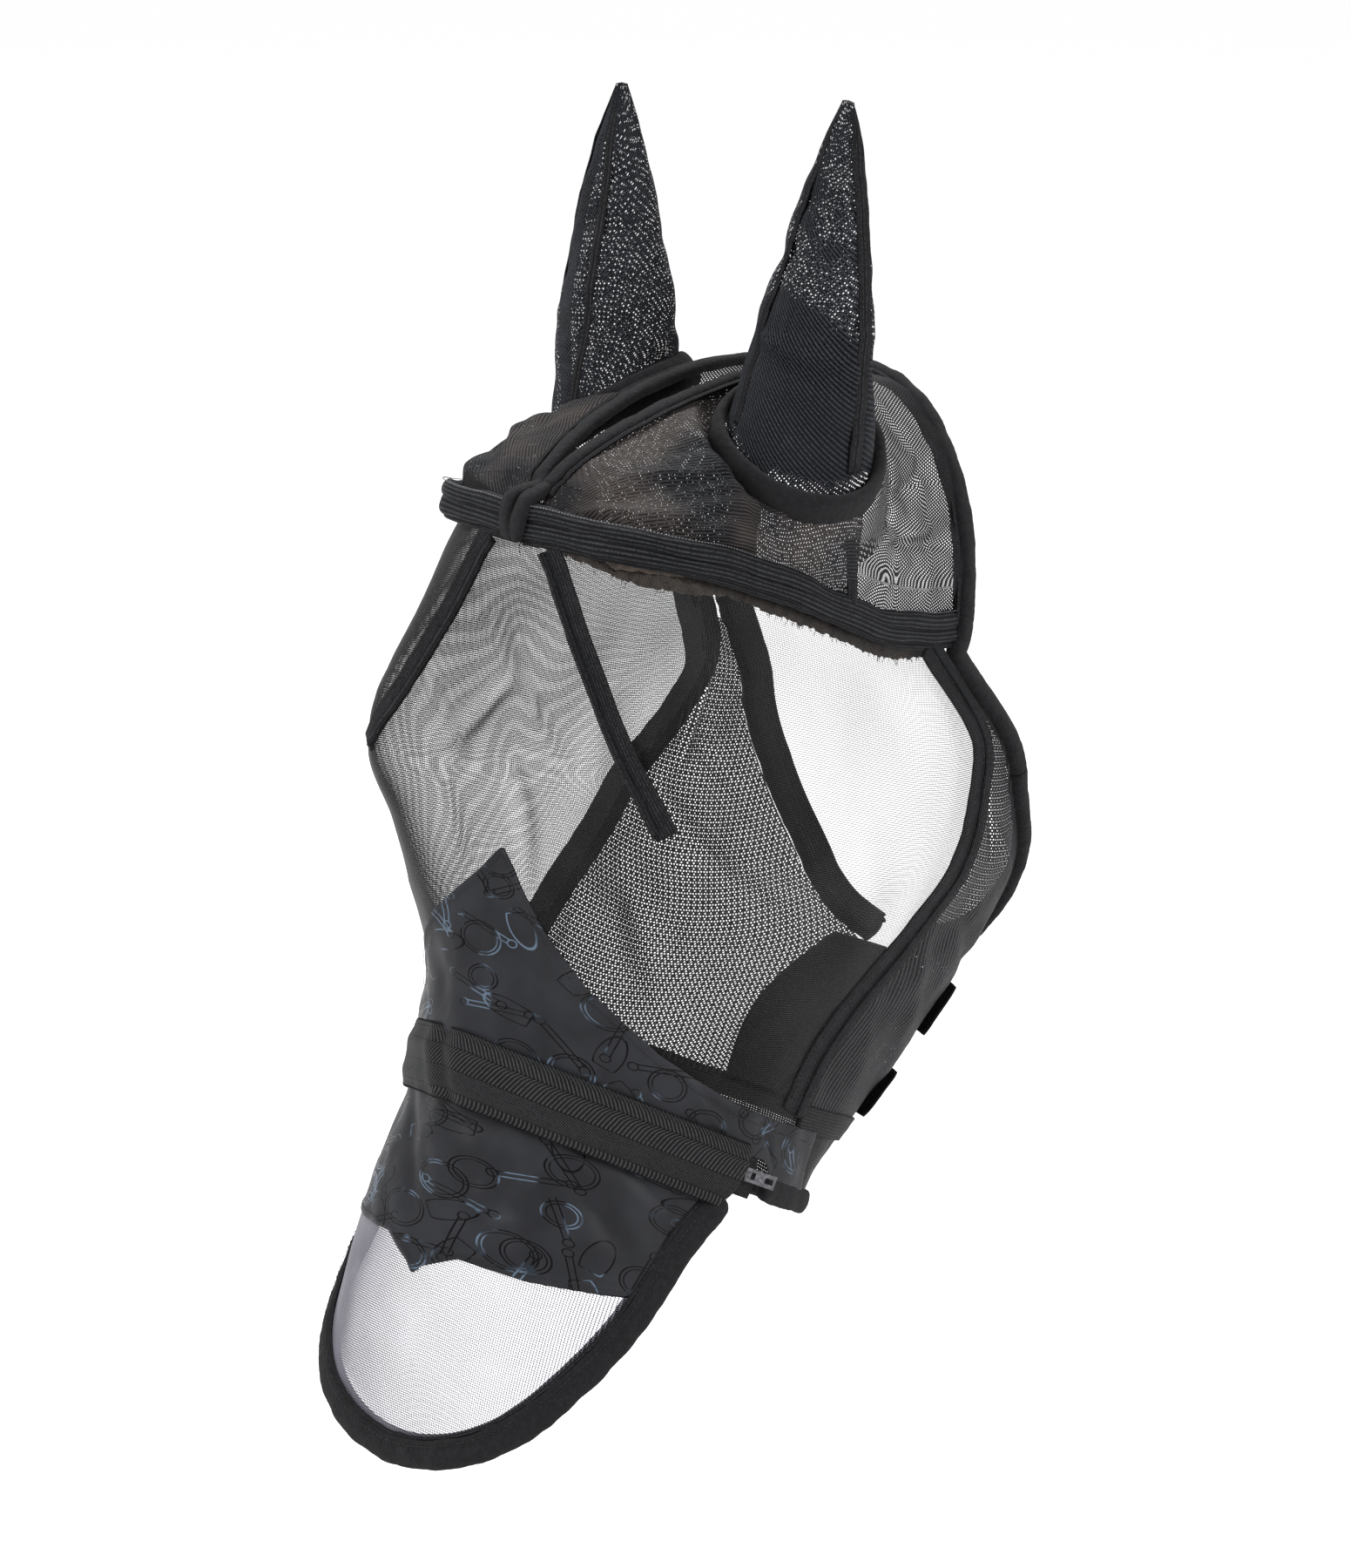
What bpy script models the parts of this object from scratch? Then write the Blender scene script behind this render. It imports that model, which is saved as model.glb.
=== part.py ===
# Horse fly mask: wrap-around mesh mask with ear pockets, forelock slit, eye darts,
# touch-tape throat closures and a zip-off nose piece.  Blender 4.5, metres, +Z up.
# The face looks towards -Y, +X is the horse's left side, and the origin lies on the
# flat inner face of the poll binding, on the centre line.
#
# Shapes are worked out in mm from the brow centre.  Places on the face are given as a
# station (mm down the face line) and an angle (degrees round the head from the face line).
import bpy
import bmesh
import math
import numpy as np
from mathutils import Vector, Matrix

for old in list(bpy.data.objects):
    bpy.data.objects.remove(old, do_unlink=True)

MM = 0.001
PARTS = bpy.data.collections.new("fly_mask")
CUTTERS = bpy.data.collections.new("cutters")
bpy.context.scene.collection.children.link(PARTS)
bpy.context.scene.collection.children.link(CUTTERS)

SIDES = (("left", 1.0), ("right", -1.0))

# ------------------------------------------------------------------ shared dimensions (mm)
POLL_Y = 287.5                           # poll binding, measured from the brow centre
POLL_Z = 23.5
ORIGIN = np.array([0.0, POLL_Y, POLL_Z])
FABRIC = 1.6                             # thickness of a mesh, knit or softshell panel
FLEECE_R = 7.0
NECK_FLEECE_R = FLEECE_R - 1.0           # rolls along the neck edge
ZIP_STATION = 300.0                      # the zip line across the nose
ZIP_END = 88.5                           # half the zip's run, degrees
TRIM_END = 110.0                         # where the lower trim stops, degrees

# Stations down the face: station, y and z of the face line, tilt of the section in
# degrees, half width, front depth, full depth, exponents of the front and rear halves.
STATIONS = [
    (-30.0, 3.0, 30.0, 23.0, 88.0, 150.0, 400.0, 2.6, 2.6),
    (0.0, 0.0, 0.0, 22.0, 94.0, 150.0, 385.0, 2.9, 2.6),
    (60.0, -5.0, -60.0, 20.0, 114.0, 156.0, 440.0, 4.8, 2.5),
    (100.0, -9.0, -100.0, 19.0, 125.0, 148.0, 425.0, 6.4, 2.5),
    (150.0, -14.0, -150.0, 18.0, 134.0, 138.0, 405.0, 7.0, 2.5),
    (184.0, -19.0, -184.0, 19.0, 128.0, 136.0, 390.0, 4.2, 2.4),
    (240.0, -34.0, -240.0, 25.0, 118.0, 130.0, 330.0, 2.0, 2.3),
    (285.0, -47.5, -285.0, 30.0, 119.0, 130.0, 267.0, 1.6, 2.2),
    (306.0, -54.0, -306.0, 31.0, 120.0, 130.0, 250.0, 1.5, 2.2),
    (345.0, -69.0, -342.0, 32.0, 115.0, 121.0, 234.0, 1.65, 2.2),
    (424.0, -98.0, -418.0, 33.0, 108.0, 110.0, 220.0, 2.1, 2.2),
    (490.0, -113.0, -482.0, 33.0, 104.0, 101.0, 200.0, 2.4, 2.2),
    (560.0, -121.0, -552.0, 33.0, 99.0, 94.0, 190.0, 2.6, 2.2),
]
# Crown, front to rear: y, height of the centre line, half width at the brow line,
# height of the brow line, exponent of the section.
CROWN = [
    (2.0, 4.0, 30.0, 0.0, 2.3),
    (10.0, 13.0, 60.0, 2.0, 2.3),
    (25.0, 27.0, 74.0, -5.0, 2.4),
    (55.0, 40.0, 85.0, -17.0, 2.6),
    (90.0, 49.0, 91.0, -34.0, 2.9),
    (125.0, 54.0, 96.0, -51.0, 3.0),
    (160.0, 56.0, 96.0, -69.0, 3.0),
    (200.0, 54.0, 93.0, -87.0, 2.7),
    (240.0, 47.0, 89.0, -100.0, 2.4),
    (285.0, 36.0, 84.0, -108.0, 2.3),
    (300.0, 31.0, 82.0, -110.0, 2.3),
]


# ------------------------------------------------------------------ interpolation, vectors
def spline(table, value):
    """Smooth interpolation of a table of rows by its first column."""
    last = len(table) - 1
    i = 0
    while i < last - 1 and value > table[i + 1][0]:
        i += 1
    start = np.array(table[i][1:], float)
    end = np.array(table[i + 1][1:], float)
    span = table[i + 1][0] - table[i][0]
    start_slope = end_slope = (end - start) / span
    if i > 0:
        before = np.array(table[i - 1][1:], float)
        start_slope = (end - before) / (table[i + 1][0] - table[i - 1][0])
    if i < last - 1:
        after = np.array(table[i + 2][1:], float)
        end_slope = (after - start) / (table[i + 2][0] - table[i][0])
    t = min(max((value - table[i][0]) / span, 0.0), 1.0)
    t2, t3 = t * t, t * t * t
    return ((2 * t3 - 3 * t2 + 1) * start + (t3 - 2 * t2 + t) * span * start_slope
            + (-2 * t3 + 3 * t2) * end + (t3 - t2) * span * end_slope)


def lookup(table, value):
    """Linear interpolation in a two-column table."""
    keys, values = np.transpose(table)
    return float(np.interp(value, keys, values))


def smooth(t):
    t = min(max(t, 0.0), 1.0)
    return t * t * (3 - 2 * t)


def unit(vector):
    return vector / np.linalg.norm(vector)


def square_to(vector, *axes):
    """Unit vector: what is left of vector once its part along each axis is taken off."""
    return unit(vector - sum(axis * np.dot(vector, axis) for axis in axes))


def sided(point, sign):
    """A point or direction of the left side, mirrored to the right for sign -1."""
    return point * np.array([sign, 1.0, 1.0])


def run_lengths(points):
    steps = np.linalg.norm(np.diff(points, axis=0), axis=1)
    return np.r_[0, np.cumsum(steps)]


def resample(points, count):
    """A smooth run of count points through the given ones, evenly spaced."""
    points = np.array(points, float)
    runs = run_lengths(points)
    table = np.column_stack([runs, points])
    fine = np.array([spline(table, run) for run in np.linspace(0, runs[-1], 160)])
    runs = run_lengths(fine)
    even = np.linspace(0, runs[-1], count)
    return np.column_stack([np.interp(even, runs, column) for column in fine.T])


def point_at(curve, place):
    """Point of a curve at a fractional index."""
    i = int(place)
    part = place - i
    return curve[i] * (1 - part) + curve[min(i + 1, len(curve) - 1)] * part


# ------------------------------------------------------------------ head surface
def section(station):
    """Face-line point, direction into the head, and the sizes of a section."""
    face_y, face_z, tilt, *sizes = spline(STATIONS, station)
    tilt = math.radians(tilt)
    inward = np.array([0.0, math.cos(tilt), -math.sin(tilt)])
    return np.array([0.0, face_y, face_z]), inward, sizes


def skin(station, deg):
    """Point of the head surface."""
    face, inward, sizes = section(station)
    half_width, front_depth, full_depth, front_power, rear_power = sizes
    cos, sin = math.cos(math.radians(deg)), math.sin(math.radians(deg))
    depth = front_depth if cos > 0 else full_depth - front_depth
    power = front_power if cos > 0 else rear_power
    radius = (abs(cos / depth) ** power + abs(sin / half_width) ** power) ** (-1.0 / power)
    return face + inward * (front_depth - radius * cos) + np.array([radius * sin, 0.0, 0.0])


def skin_normal(station, deg):
    round_head = skin(station, deg + 0.5) - skin(station, deg - 0.5)
    down_face = skin(station + 0.5, deg) - skin(station - 0.5, deg)
    normal = unit(np.cross(down_face, round_head))
    face, inward, sizes = section(station)
    middle = face + inward * sizes[1]
    return -normal if np.dot(normal, skin(station, deg) - middle) < 0 else normal


def proud(station, deg, height):
    """Point standing off the head surface by height."""
    return skin(station, deg) + skin_normal(station, deg) * height


def locate(point):
    """Station and angle of the surface point nearest a place given in mm."""
    low, high = STATIONS[0][0], STATIONS[-1][0]
    for _ in range(48):
        station = 0.5 * (low + high)
        face, inward, sizes = section(station)
        downward = np.array([0.0, inward[2], -inward[1]])
        if np.dot(point - face, downward) > 0:
            low = station
        else:
            high = station
    depth = np.dot(point - face, inward)
    return station, math.degrees(math.atan2(point[0], sizes[1] - depth))


def crown(y, deg):
    """Point of the crown at y behind the brow, deg degrees down from the top."""
    top_z, half_width, brow_z, power = spline(CROWN, y)
    cos, sin = abs(math.cos(math.radians(deg))), abs(math.sin(math.radians(deg)))
    radius = ((cos / (top_z - brow_z)) ** power + (sin / half_width) ** power) ** (-1.0 / power)
    return np.array([math.copysign(radius * sin, deg), y, brow_z + radius * cos])


def crown_normal(y, deg):
    along = crown(y + 0.5, deg) - crown(y - 0.5, deg)
    around = crown(y, deg + 0.5) - crown(y, deg - 0.5)
    normal = unit(np.cross(around, along))
    outward = normal[2] if abs(deg) < 60 else normal[0] * math.copysign(1, deg)
    return -normal if outward < 0 else normal


def crown_height(y):
    """Height of the crown's centre line above its brow line."""
    top_z, _, brow_z, _ = spline(CROWN, y)
    return top_z - brow_z


def rear_y(y, deg):
    """The crown's rear edge swings forward towards the sides."""
    return y - 8.0 * smooth((y - 180.0) / 100.0) * (abs(deg) / 86.0) ** 2


# ------------------------------------------------------------------ seam lines (left side)
# Lower edge of the forehead band: x, y, z.
BROW = resample([(0, 0, 0), (30, 2, 1), (60, 8, -1), (80, 32, -9), (88, 60, -20),
                 (95, 118, -47), (95, 160, -69), (93, 198, -88), (88, 240, -101),
                 (84, 268, -107)], 24)
# Cheek tape, from the rear end of the brow band down towards the zip: station, angle.
CHEEK = resample([(14, 141.5), (35, 142.5), (64, 142.5), (97, 140.0), (130, 136),
                  (157, 131.3), (181, 126.5), (199, 121.5), (214, 116.5), (235, 110.5),
                  (253, 106), (268, 102.5)], 22)
# Neck edge, from the rear end of the brow band to the throat: station, angle.
NECK = resample([(10, 148), (35, 149), (60, 150), (88, 151.5), (124, 154.5), (157, 158.5),
                 (181, 163.5), (195, 169), (203, 178)], 22)
# Free edge of the nose piece, from the zip to the centre line: station, angle.
NOSE_EDGE = resample([(313, 77.5), (330, 75.0), (350, 72), (375, 68.5), (400, 64.2),
                      (423, 58.0), (446, 51.0), (468, 43), (487, 33.5), (500, 23),
                      (508, 11.5), (511, 0)], 21)
# Centre line of an eye dart: station, angle.
DART = resample([(12, 10.5), (25, 13.0), (52, 18.0), (79, 24.0), (105, 30.5), (125, 36.0),
                 (143, 40.5)], 9)
# Top edge of the lower trim, peaked on the nose bridge: angle, station.
TRIM_TOP = [(0, 176), (7, 194), (15, 212), (23, 226), (30, 238), (40, 249), (51, 259),
            (63, 265), (76, 270), (92, 272), (180, 273)]
# Lower edge of the nose trim, pointed on the nose bridge: angle, station.
NOSE_TRIM_LOW = [(0, 415), (3, 409), (14, 398), (34, 396), (57, 388), (75, 380)]
# Brow line: angle, station.
BROW_STATIONS = [locate(point)[::-1] for point in BROW]


# ------------------------------------------------------------------ materials
def material(name, colour, roughness, metallic=0.0):
    mat = bpy.data.materials.new(name)
    mat.use_nodes = True
    shader = mat.node_tree.nodes["Principled BSDF"]
    shader.inputs["Base Color"].default_value = (*colour, 1.0)
    shader.inputs["Roughness"].default_value = roughness
    shader.inputs["Metallic"].default_value = metallic
    return mat


FINE_MESH = material("fine_mesh", colour=(0.02, 0.02, 0.022), roughness=0.6)
COARSE_MESH = material("coarse_mesh", colour=(0.012, 0.012, 0.015), roughness=0.65)
KNIT = material("ribbed_knit", colour=(0.018, 0.019, 0.025), roughness=0.55)
FLEECE = material("fleece", colour=(0.01, 0.01, 0.012), roughness=0.95)
TAPE = material("binding_tape", colour=(0.012, 0.012, 0.013), roughness=0.7)
SOFTSHELL = material("softshell", colour=(0.05, 0.05, 0.055), roughness=0.5)
WEBBING = material("webbing", colour=(0.012, 0.012, 0.013), roughness=0.6)
COIL = material("zip_coil", colour=(0.01, 0.01, 0.011), roughness=0.4)
METAL = material("slider_metal", colour=(0.06, 0.06, 0.065), roughness=0.35, metallic=1.0)
HOOK = material("touch_tape", colour=(0.01, 0.01, 0.011), roughness=0.85)
LINING = material("lining", colour=(0.2, 0.15, 0.11), roughness=0.9)


# ------------------------------------------------------------------ makers
def in_scene(point):
    """A point in mm from the brow centre, in metres from the origin."""
    return Vector((np.array(point) - ORIGIN) * MM)


def add_part(name, data, mat):
    data.materials.append(mat)
    ob = bpy.data.objects.new(name, data)
    PARTS.objects.link(ob)
    return ob


def to_mesh(name, bm):
    mesh = bpy.data.meshes.new(name)
    bm.to_mesh(mesh)
    bm.free()
    return mesh


def sheet(name, rows, thickness, mat):
    """A grid pulled over the given rows of points, made thick evenly to both sides."""
    row_steps, column_steps = len(rows) - 1, len(rows[0]) - 1
    bm = bmesh.new()
    bmesh.ops.create_grid(bm, x_segments=row_steps, y_segments=column_steps, size=1.0)
    for vert in bm.verts:
        i = int(round((vert.co.x + 1.0) / 2.0 * row_steps))
        j = int(round((vert.co.y + 1.0) / 2.0 * column_steps))
        vert.co = in_scene(rows[i][j])
    ob = add_part(name, to_mesh(name, bm), mat)
    solidify = ob.modifiers.new("thickness", "SOLIDIFY")
    solidify.thickness = thickness * MM
    solidify.offset = 0.0
    solidify.use_even_offset = False
    return ob


def roll(name, points, radius, mat, resolution=1):
    """A round roll along points, with closed ends."""
    curve = bpy.data.curves.new(name, "CURVE")
    curve.dimensions = "3D"
    line = curve.splines.new("POLY")
    line.points.add(len(points) - 1)
    for knot, point in zip(line.points, points):
        knot.co = (*in_scene(point), 1.0)
    curve.bevel_depth = radius * MM
    curve.bevel_resolution = resolution
    curve.use_fill_caps = True
    curve.twist_mode = "MINIMUM"
    return add_part(name, curve, mat)


def swept(name, points, ups, profile, mat, closed=False):
    """A flat-sided profile (across, up) swept along points."""
    bm = bmesh.new()
    count = len(points)
    rings = []
    for k, (point, up) in enumerate(zip(points, ups)):
        ahead = points[(k + 1) % count] if closed or k < count - 1 else point
        behind = points[k - 1] if closed or k > 0 else point
        along = unit(ahead - behind)
        up = square_to(up, along)
        across = np.cross(up, along)
        rings.append([bm.verts.new(in_scene(point + across * a + up * u))
                      for a, u in profile])
    corners = len(profile)
    for k in range(count if closed else count - 1):
        ring, following = rings[k], rings[(k + 1) % count]
        for j in range(corners):
            after = (j + 1) % corners
            bm.faces.new((ring[j], ring[after], following[after], following[j]))
    if not closed:
        bm.faces.new(rings[0][::-1])
        bm.faces.new(rings[-1])
    bmesh.ops.recalc_face_normals(bm, faces=bm.faces)
    return add_part(name, to_mesh(name, bm), mat)


def boolean(ob, helper, name="cut", operation="DIFFERENCE"):
    """Combine a helper object with a part, and keep the helper out of renders."""
    helper.hide_render = True
    helper.display_type = "WIRE"
    CUTTERS.objects.link(helper)
    modifier = ob.modifiers.new(name, "BOOLEAN")
    modifier.operation = operation
    modifier.object = helper


# ------------------------------------------------------------------ face mesh
def build_face_mesh():
    top_gap = 8.0       # below the brow line
    low_gap = 2.0       # above the lower trim
    side_gap = 3.8      # inside the cheek tape's centre line, degrees
    rows = []
    for down in np.linspace(0, 1, 11):
        # the lateral extent is found by walking to the tape at this row's own height
        end = 130.0
        for _ in range(14):
            top = lookup(BROW_STATIONS, end) + top_gap
            low = lookup(TRIM_TOP, end) - low_gap - 1.0
            end = 0.5 * (end + lookup(CHEEK, top + down * (low - top)) - side_gap)
        row = []
        for deg in np.linspace(-1, 1, 21) * end:
            top = lookup(BROW_STATIONS, abs(deg)) + top_gap
            low = lookup(TRIM_TOP, abs(deg)) - low_gap
            row.append(skin(top + down * (low - top), deg))
        rows.append(row)
    sheet("face_mesh", rows, FABRIC, FINE_MESH)


def build_dart_tape(side, sign):
    rows = []
    for k, (station, deg) in enumerate(DART):
        behind = skin(*DART[max(k - 1, 0)])
        ahead = skin(*DART[min(k + 1, len(DART) - 1)])
        across = np.cross(skin_normal(station, deg), unit(ahead - behind))
        middle = proud(station, deg, 3.4)
        rows.append([sided(middle + across * offset, sign) for offset in (-7.5, 0, 7.5)])
    sheet("dart_tape_" + side, rows, 1.4, TAPE)


# ------------------------------------------------------------------ cheek tapes, neck flaps
CHEEK_HALF = 2.6        # half width of the cheek tape, degrees
FLAP_TOP = 78.0         # station where the flap leaves the neck edge
# Flap's outer edge below the neck edge, along the throat: station, angle.
FLAP_THROAT = [(213.0, 176.5), (228.0, 178.0), (246.0, 178.0), (264.0, 178.0)]


def build_cheek_tape(side, sign):
    rows = [[skin(station, sign * (deg + offset)) for offset in (-CHEEK_HALF, 0, CHEEK_HALF)]
            for station, deg in resample(CHEEK[1:], 14)]
    sheet("cheek_tape_" + side, rows, 2.2, TAPE)


def build_jowl(side, sign):
    """Coarse mesh flap between the cheek tape and the neck edge, and its fleece roll."""
    inner = resample([(station, deg + CHEEK_HALF + 1.2)
                      for station, deg in CHEEK if station > FLAP_TOP], 11)
    outer = resample([(station + 2.5, deg - 4.6)
                      for station, deg in NECK if FLAP_TOP + 4 < station < 194]
                     + FLAP_THROAT, 11)
    rows = []
    for start, end in zip(inner, outer):
        places = [start + (end - start) * t for t in np.linspace(0, 1, 7)]
        rows.append([skin(station, sign * deg) for station, deg in places])
    sheet("jowl_panel_" + side, rows, FABRIC, COARSE_MESH)
    points = [proud(station, sign * (deg + 0.6), 1.0) for station, deg in NECK[::2]
              if station > FLAP_TOP + 8 and deg < 176]
    roll("jowl_binding_" + side, points, NECK_FLEECE_R, FLEECE)


def build_neck_binding(side, sign):
    """Fleece roll down the neck edge above the flap."""
    points = [proud(station, sign * (deg + 1.2), 0.8) for station, deg in NECK[::2]
              if 15 < station < FLAP_TOP]
    roll("neck_binding_" + side, points, NECK_FLEECE_R, FLEECE)


# ------------------------------------------------------------------ brow: pads, piping, lining
# Padded band: across, up.
BROW_PROFILE = [(-7.0, -3.0), (7.0, -3.0), (8.0, 0.0), (5.5, 3.6), (0, 4.6), (-5.5, 3.6),
                (-8.0, 0.0)]


def brow_normal(point):
    station, deg = locate(point)
    return skin_normal(max(station, -20), deg)


def brow_run(count, height, rise, centre_gap, sign):
    """Points and normals beside the brow line, less the rearmost of count."""
    points, normals = [], []
    for on_line in resample(BROW, count)[:-1]:
        normal = brow_normal(on_line)
        point = on_line + normal * height + np.array([0, 0, rise])
        point[0] = max(point[0], centre_gap)
        points.append(sided(point, sign))
        normals.append(sided(normal, sign))
    return points, normals


def build_brow_band(side, sign):
    points, normals = brow_run(13, height=2.5, rise=7.5, centre_gap=1.2, sign=sign)
    swept("brow_pad_" + side, points, normals, BROW_PROFILE, KNIT)
    points, _ = brow_run(14, height=3.0, rise=-4.6, centre_gap=2.2, sign=sign)
    roll("brow_piping_" + side, points, 2.2, TAPE)


def build_brow_lining():
    """Strip inside the brow band, along the front 86% of its line."""
    rows = []
    for t in np.linspace(-1, 1, 17):
        point = point_at(BROW, abs(t) * 0.86 * (len(BROW) - 1))
        base = sided(point - brow_normal(point) * 4.0, 1 if t >= 0 else -1)
        rows.append([base + np.array([0, 0, rise]) for rise in (-7.0, 9.0)])
    sheet("brow_lining", rows, 2.0, LINING)


# ------------------------------------------------------------------ crown panels
# Forelock slit: y, half width.
SLIT = [(26, 4.6), (45, 7.5), (80, 12.0), (130, 15.0), (180, 15.0), (222, 10.0), (240, 5.2)]
SEAM_HALF = 2.2                  # half gap between the panels before and behind the slit
SLIT_START, SLIT_STOP = 20.0, 246.0
# Panels of one side: name, first y, last y, rows, material.
CROWN_PANELS = (("front", 12.0, 158.5, 9, KNIT), ("rear", 161.5, 279.0, 6, COARSE_MESH))
EAR_HOLE_R = 53.0
EAR_HOLE_DEPTH = 76.0
EAR_HOLE_LIFT = 22.0             # cutter's centre above the ear's base
EAR_RING_R = 47.5                # centre line of the fleece ring
# Ear ring: across, out from the hole's centre.
EAR_RING_PROFILE = [(-9.5, -2.5), (-6.5, -4.0), (6.5, -4.0), (9.5, -2.5), (9.5, 2.5),
                    (6.0, 4.2), (-6.0, 4.2), (-9.5, 2.5)]


def in_slit(y):
    return SLIT_START < y < SLIT_STOP


def slit_deg(y):
    """Half width of the forelock slit as an angle round the crown."""
    half = lookup(SLIT, y) if in_slit(y) else SEAM_HALF
    return math.degrees(math.atan2(half, crown_height(y)))


def ear_base(sign):
    """Centre of the ear hole and the hole's outward normal."""
    return np.array([69.0 * sign, 150.0, 30.0]), unit(np.array([0.5 * sign, -0.15, 0.853]))


def ear_hole_cutter(name, sign):
    centre, normal = ear_base(sign)
    bm = bmesh.new()
    bmesh.ops.create_cone(bm, cap_ends=True, segments=20, radius1=EAR_HOLE_R * MM,
                          radius2=EAR_HOLE_R * MM, depth=EAR_HOLE_DEPTH * MM)
    cutter = bpy.data.objects.new(name, to_mesh(name, bm))
    turn = Vector(normal).to_track_quat("Z", "X").to_matrix().to_4x4()
    cutter.matrix_world = Matrix.Translation(in_scene(centre + normal * EAR_HOLE_LIFT)) @ turn
    return cutter


def build_crown_panels(side, sign):
    for part, first_y, last_y, count, mat in CROWN_PANELS:
        rows = []
        for y in np.linspace(first_y, last_y, count):
            # clear of the fleece beside the slit, and of the brow band at the side
            slit_gap = math.degrees(7.0 / crown_height(y)) * (1 if in_slit(y) else 0.25)
            brow_gap = 21.0 if y > SLIT_START else 19.0
            half_width = spline(CROWN, y)[1]
            inner = slit_deg(y) + slit_gap
            outer = 90.0 - math.degrees(math.atan2(brow_gap, half_width))
            rows.append([crown(rear_y(y, deg), sign * deg)
                         for deg in np.linspace(inner, outer, 8)])
        panel = sheet("crown_%s_%s" % (part, side), rows, FABRIC, mat)
        boolean(panel, ear_hole_cutter("ear_hole_%s_%s" % (part, side), sign))


def build_forelock_binding(side, sign):
    points = []
    for y in np.linspace(24, 236, 12):
        deg = sign * (slit_deg(y) + math.degrees(0.6 / crown_height(y)))
        points.append(crown(y, deg) + crown_normal(y, deg) * 1.6)
    roll("forelock_binding_" + side, points, 4.2, FLEECE)


def build_ear_ring(side, sign):
    """Fleece ring round the ear hole."""
    centre, normal = ear_base(sign)
    rearward = square_to(np.array([0.0, 1.0, 0.0]), normal)
    sideways = np.cross(normal, rearward)
    spokes = [rearward * math.cos(angle) + sideways * math.sin(angle)
              for angle in (2 * math.pi * k / 22 for k in range(22))]
    points = [centre + spoke * EAR_RING_R for spoke in spokes]
    swept("ear_ring_" + side, points, spokes, EAR_RING_PROFILE, FLEECE, closed=True)


# ------------------------------------------------------------------ poll binding
POLL_HALF = 6.0         # half thickness
POLL_PROFILE = [(-5.0, -POLL_HALF), (5.0, -POLL_HALF), (7.5, -2.5), (7.5, 2.5),
                (4.0, POLL_HALF), (-4.0, POLL_HALF), (-7.5, 2.5), (-7.5, -2.5)]


def build_poll_binding():
    """Fleece along the crown's rear edge, with a straight flat seat across the centre."""
    path, ups = [], []
    for deg in np.linspace(-86, 86, 19):
        y = rear_y(POLL_Y, deg)
        point = crown(y, deg)
        if abs(point[0]) > 26:
            path.append(point)
            ups.append(crown_normal(y, deg))
    seat = [np.array([x, POLL_Y, POLL_Z + POLL_HALF]) for x in (-18.0, -10.0, 10.0, 18.0)]
    middle = len(path) // 2
    path[middle:middle] = seat
    ups[middle:middle] = [np.array([0, 0, 1.0])] * len(seat)
    swept("poll_binding", path, ups, POLL_PROFILE, FLEECE)


# ------------------------------------------------------------------ lower trim, chin
def trim_low(deg):
    """Station of the trim's lower edge: level along the zip, lower past the zip's end."""
    return 288.0 + 10.0 * smooth((abs(deg) - ZIP_END - 4.0) / 5.0)


def build_lower_trim():
    rows = []
    for down in np.linspace(0, 1, 4):
        row = []
        for deg in np.linspace(-TRIM_END, TRIM_END, 27):
            top = lookup(TRIM_TOP, abs(deg))
            row.append(skin(top + down * (trim_low(deg) - top), deg))
        rows.append(row)
    sheet("lower_trim", rows, FABRIC, SOFTSHELL)


def build_chin():
    """Mesh gusset under the jaw between the trim's ends, and the roll along its low edge."""
    start = TRIM_END + 1.5
    rows = [[skin(station, deg) for deg in np.linspace(start, 360.0 - start, 15)]
            for station in (275.0, 285.5, 296.0)]
    sheet("chin_gusset", rows, FABRIC, COARSE_MESH)
    points = [skin(305.5, deg) for deg in np.linspace(94.5, 265.5, 19)]
    roll("chin_binding", points, 5.5, FLEECE)


# ------------------------------------------------------------------ zip
COVER_GAP = 7.0                         # cover webbing proud of the zip line
COVER_TOP, COVER_LOW = 279.5, 318.0     # stations of its edges on the centre line
COVER_TOP_DROP = 6.8372                 # how far down each edge moves by its ends
COVER_LOW_DROP = 2.7907
COVER_TOP_END, COVER_LOW_END = 84.0, 78.5   # slanted cut ends, degrees
SLIDER_AT = 84.0                        # degrees
PIVOT_HEIGHT = 4.0                      # bridge and pull above the zip line


def build_zip():
    for name, down in (("upper", -1.0), ("lower", 1.0)):
        stations = sorted(ZIP_STATION + down * gap for gap in (3.0, 10.0))
        rows = [[skin(station, deg) for station in stations]
                for deg in np.linspace(-ZIP_END, ZIP_END, 25)]
        sheet("zip_tape_" + name, rows, 1.2, WEBBING)
        points = [skin(ZIP_STATION + down * 1.4, deg)
                  for deg in np.linspace(-ZIP_END, ZIP_END, 33)]
        roll("zip_coil_" + name, points, 0.95, COIL, resolution=0)


def build_zip_cover():
    middle_end = 0.5 * (COVER_TOP_END + COVER_LOW_END)
    rows = []
    for t in np.linspace(-1, 1, 25):
        rows.append([
            proud(COVER_TOP + COVER_TOP_DROP * abs(t), t * COVER_TOP_END, COVER_GAP),
            proud(ZIP_STATION, t * middle_end, COVER_GAP),
            proud(COVER_LOW + COVER_LOW_DROP * abs(t), t * COVER_LOW_END, COVER_GAP)])
    sheet("zip_cover", rows, 1.5, WEBBING)


def build_zip_stop(side, sign):
    points = [skin(ZIP_STATION - above, sign * (ZIP_END + 1.9)) for above in (4.2, 0.6)]
    roll("zip_stop_" + side, points, 1.6, METAL, resolution=2)


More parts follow.
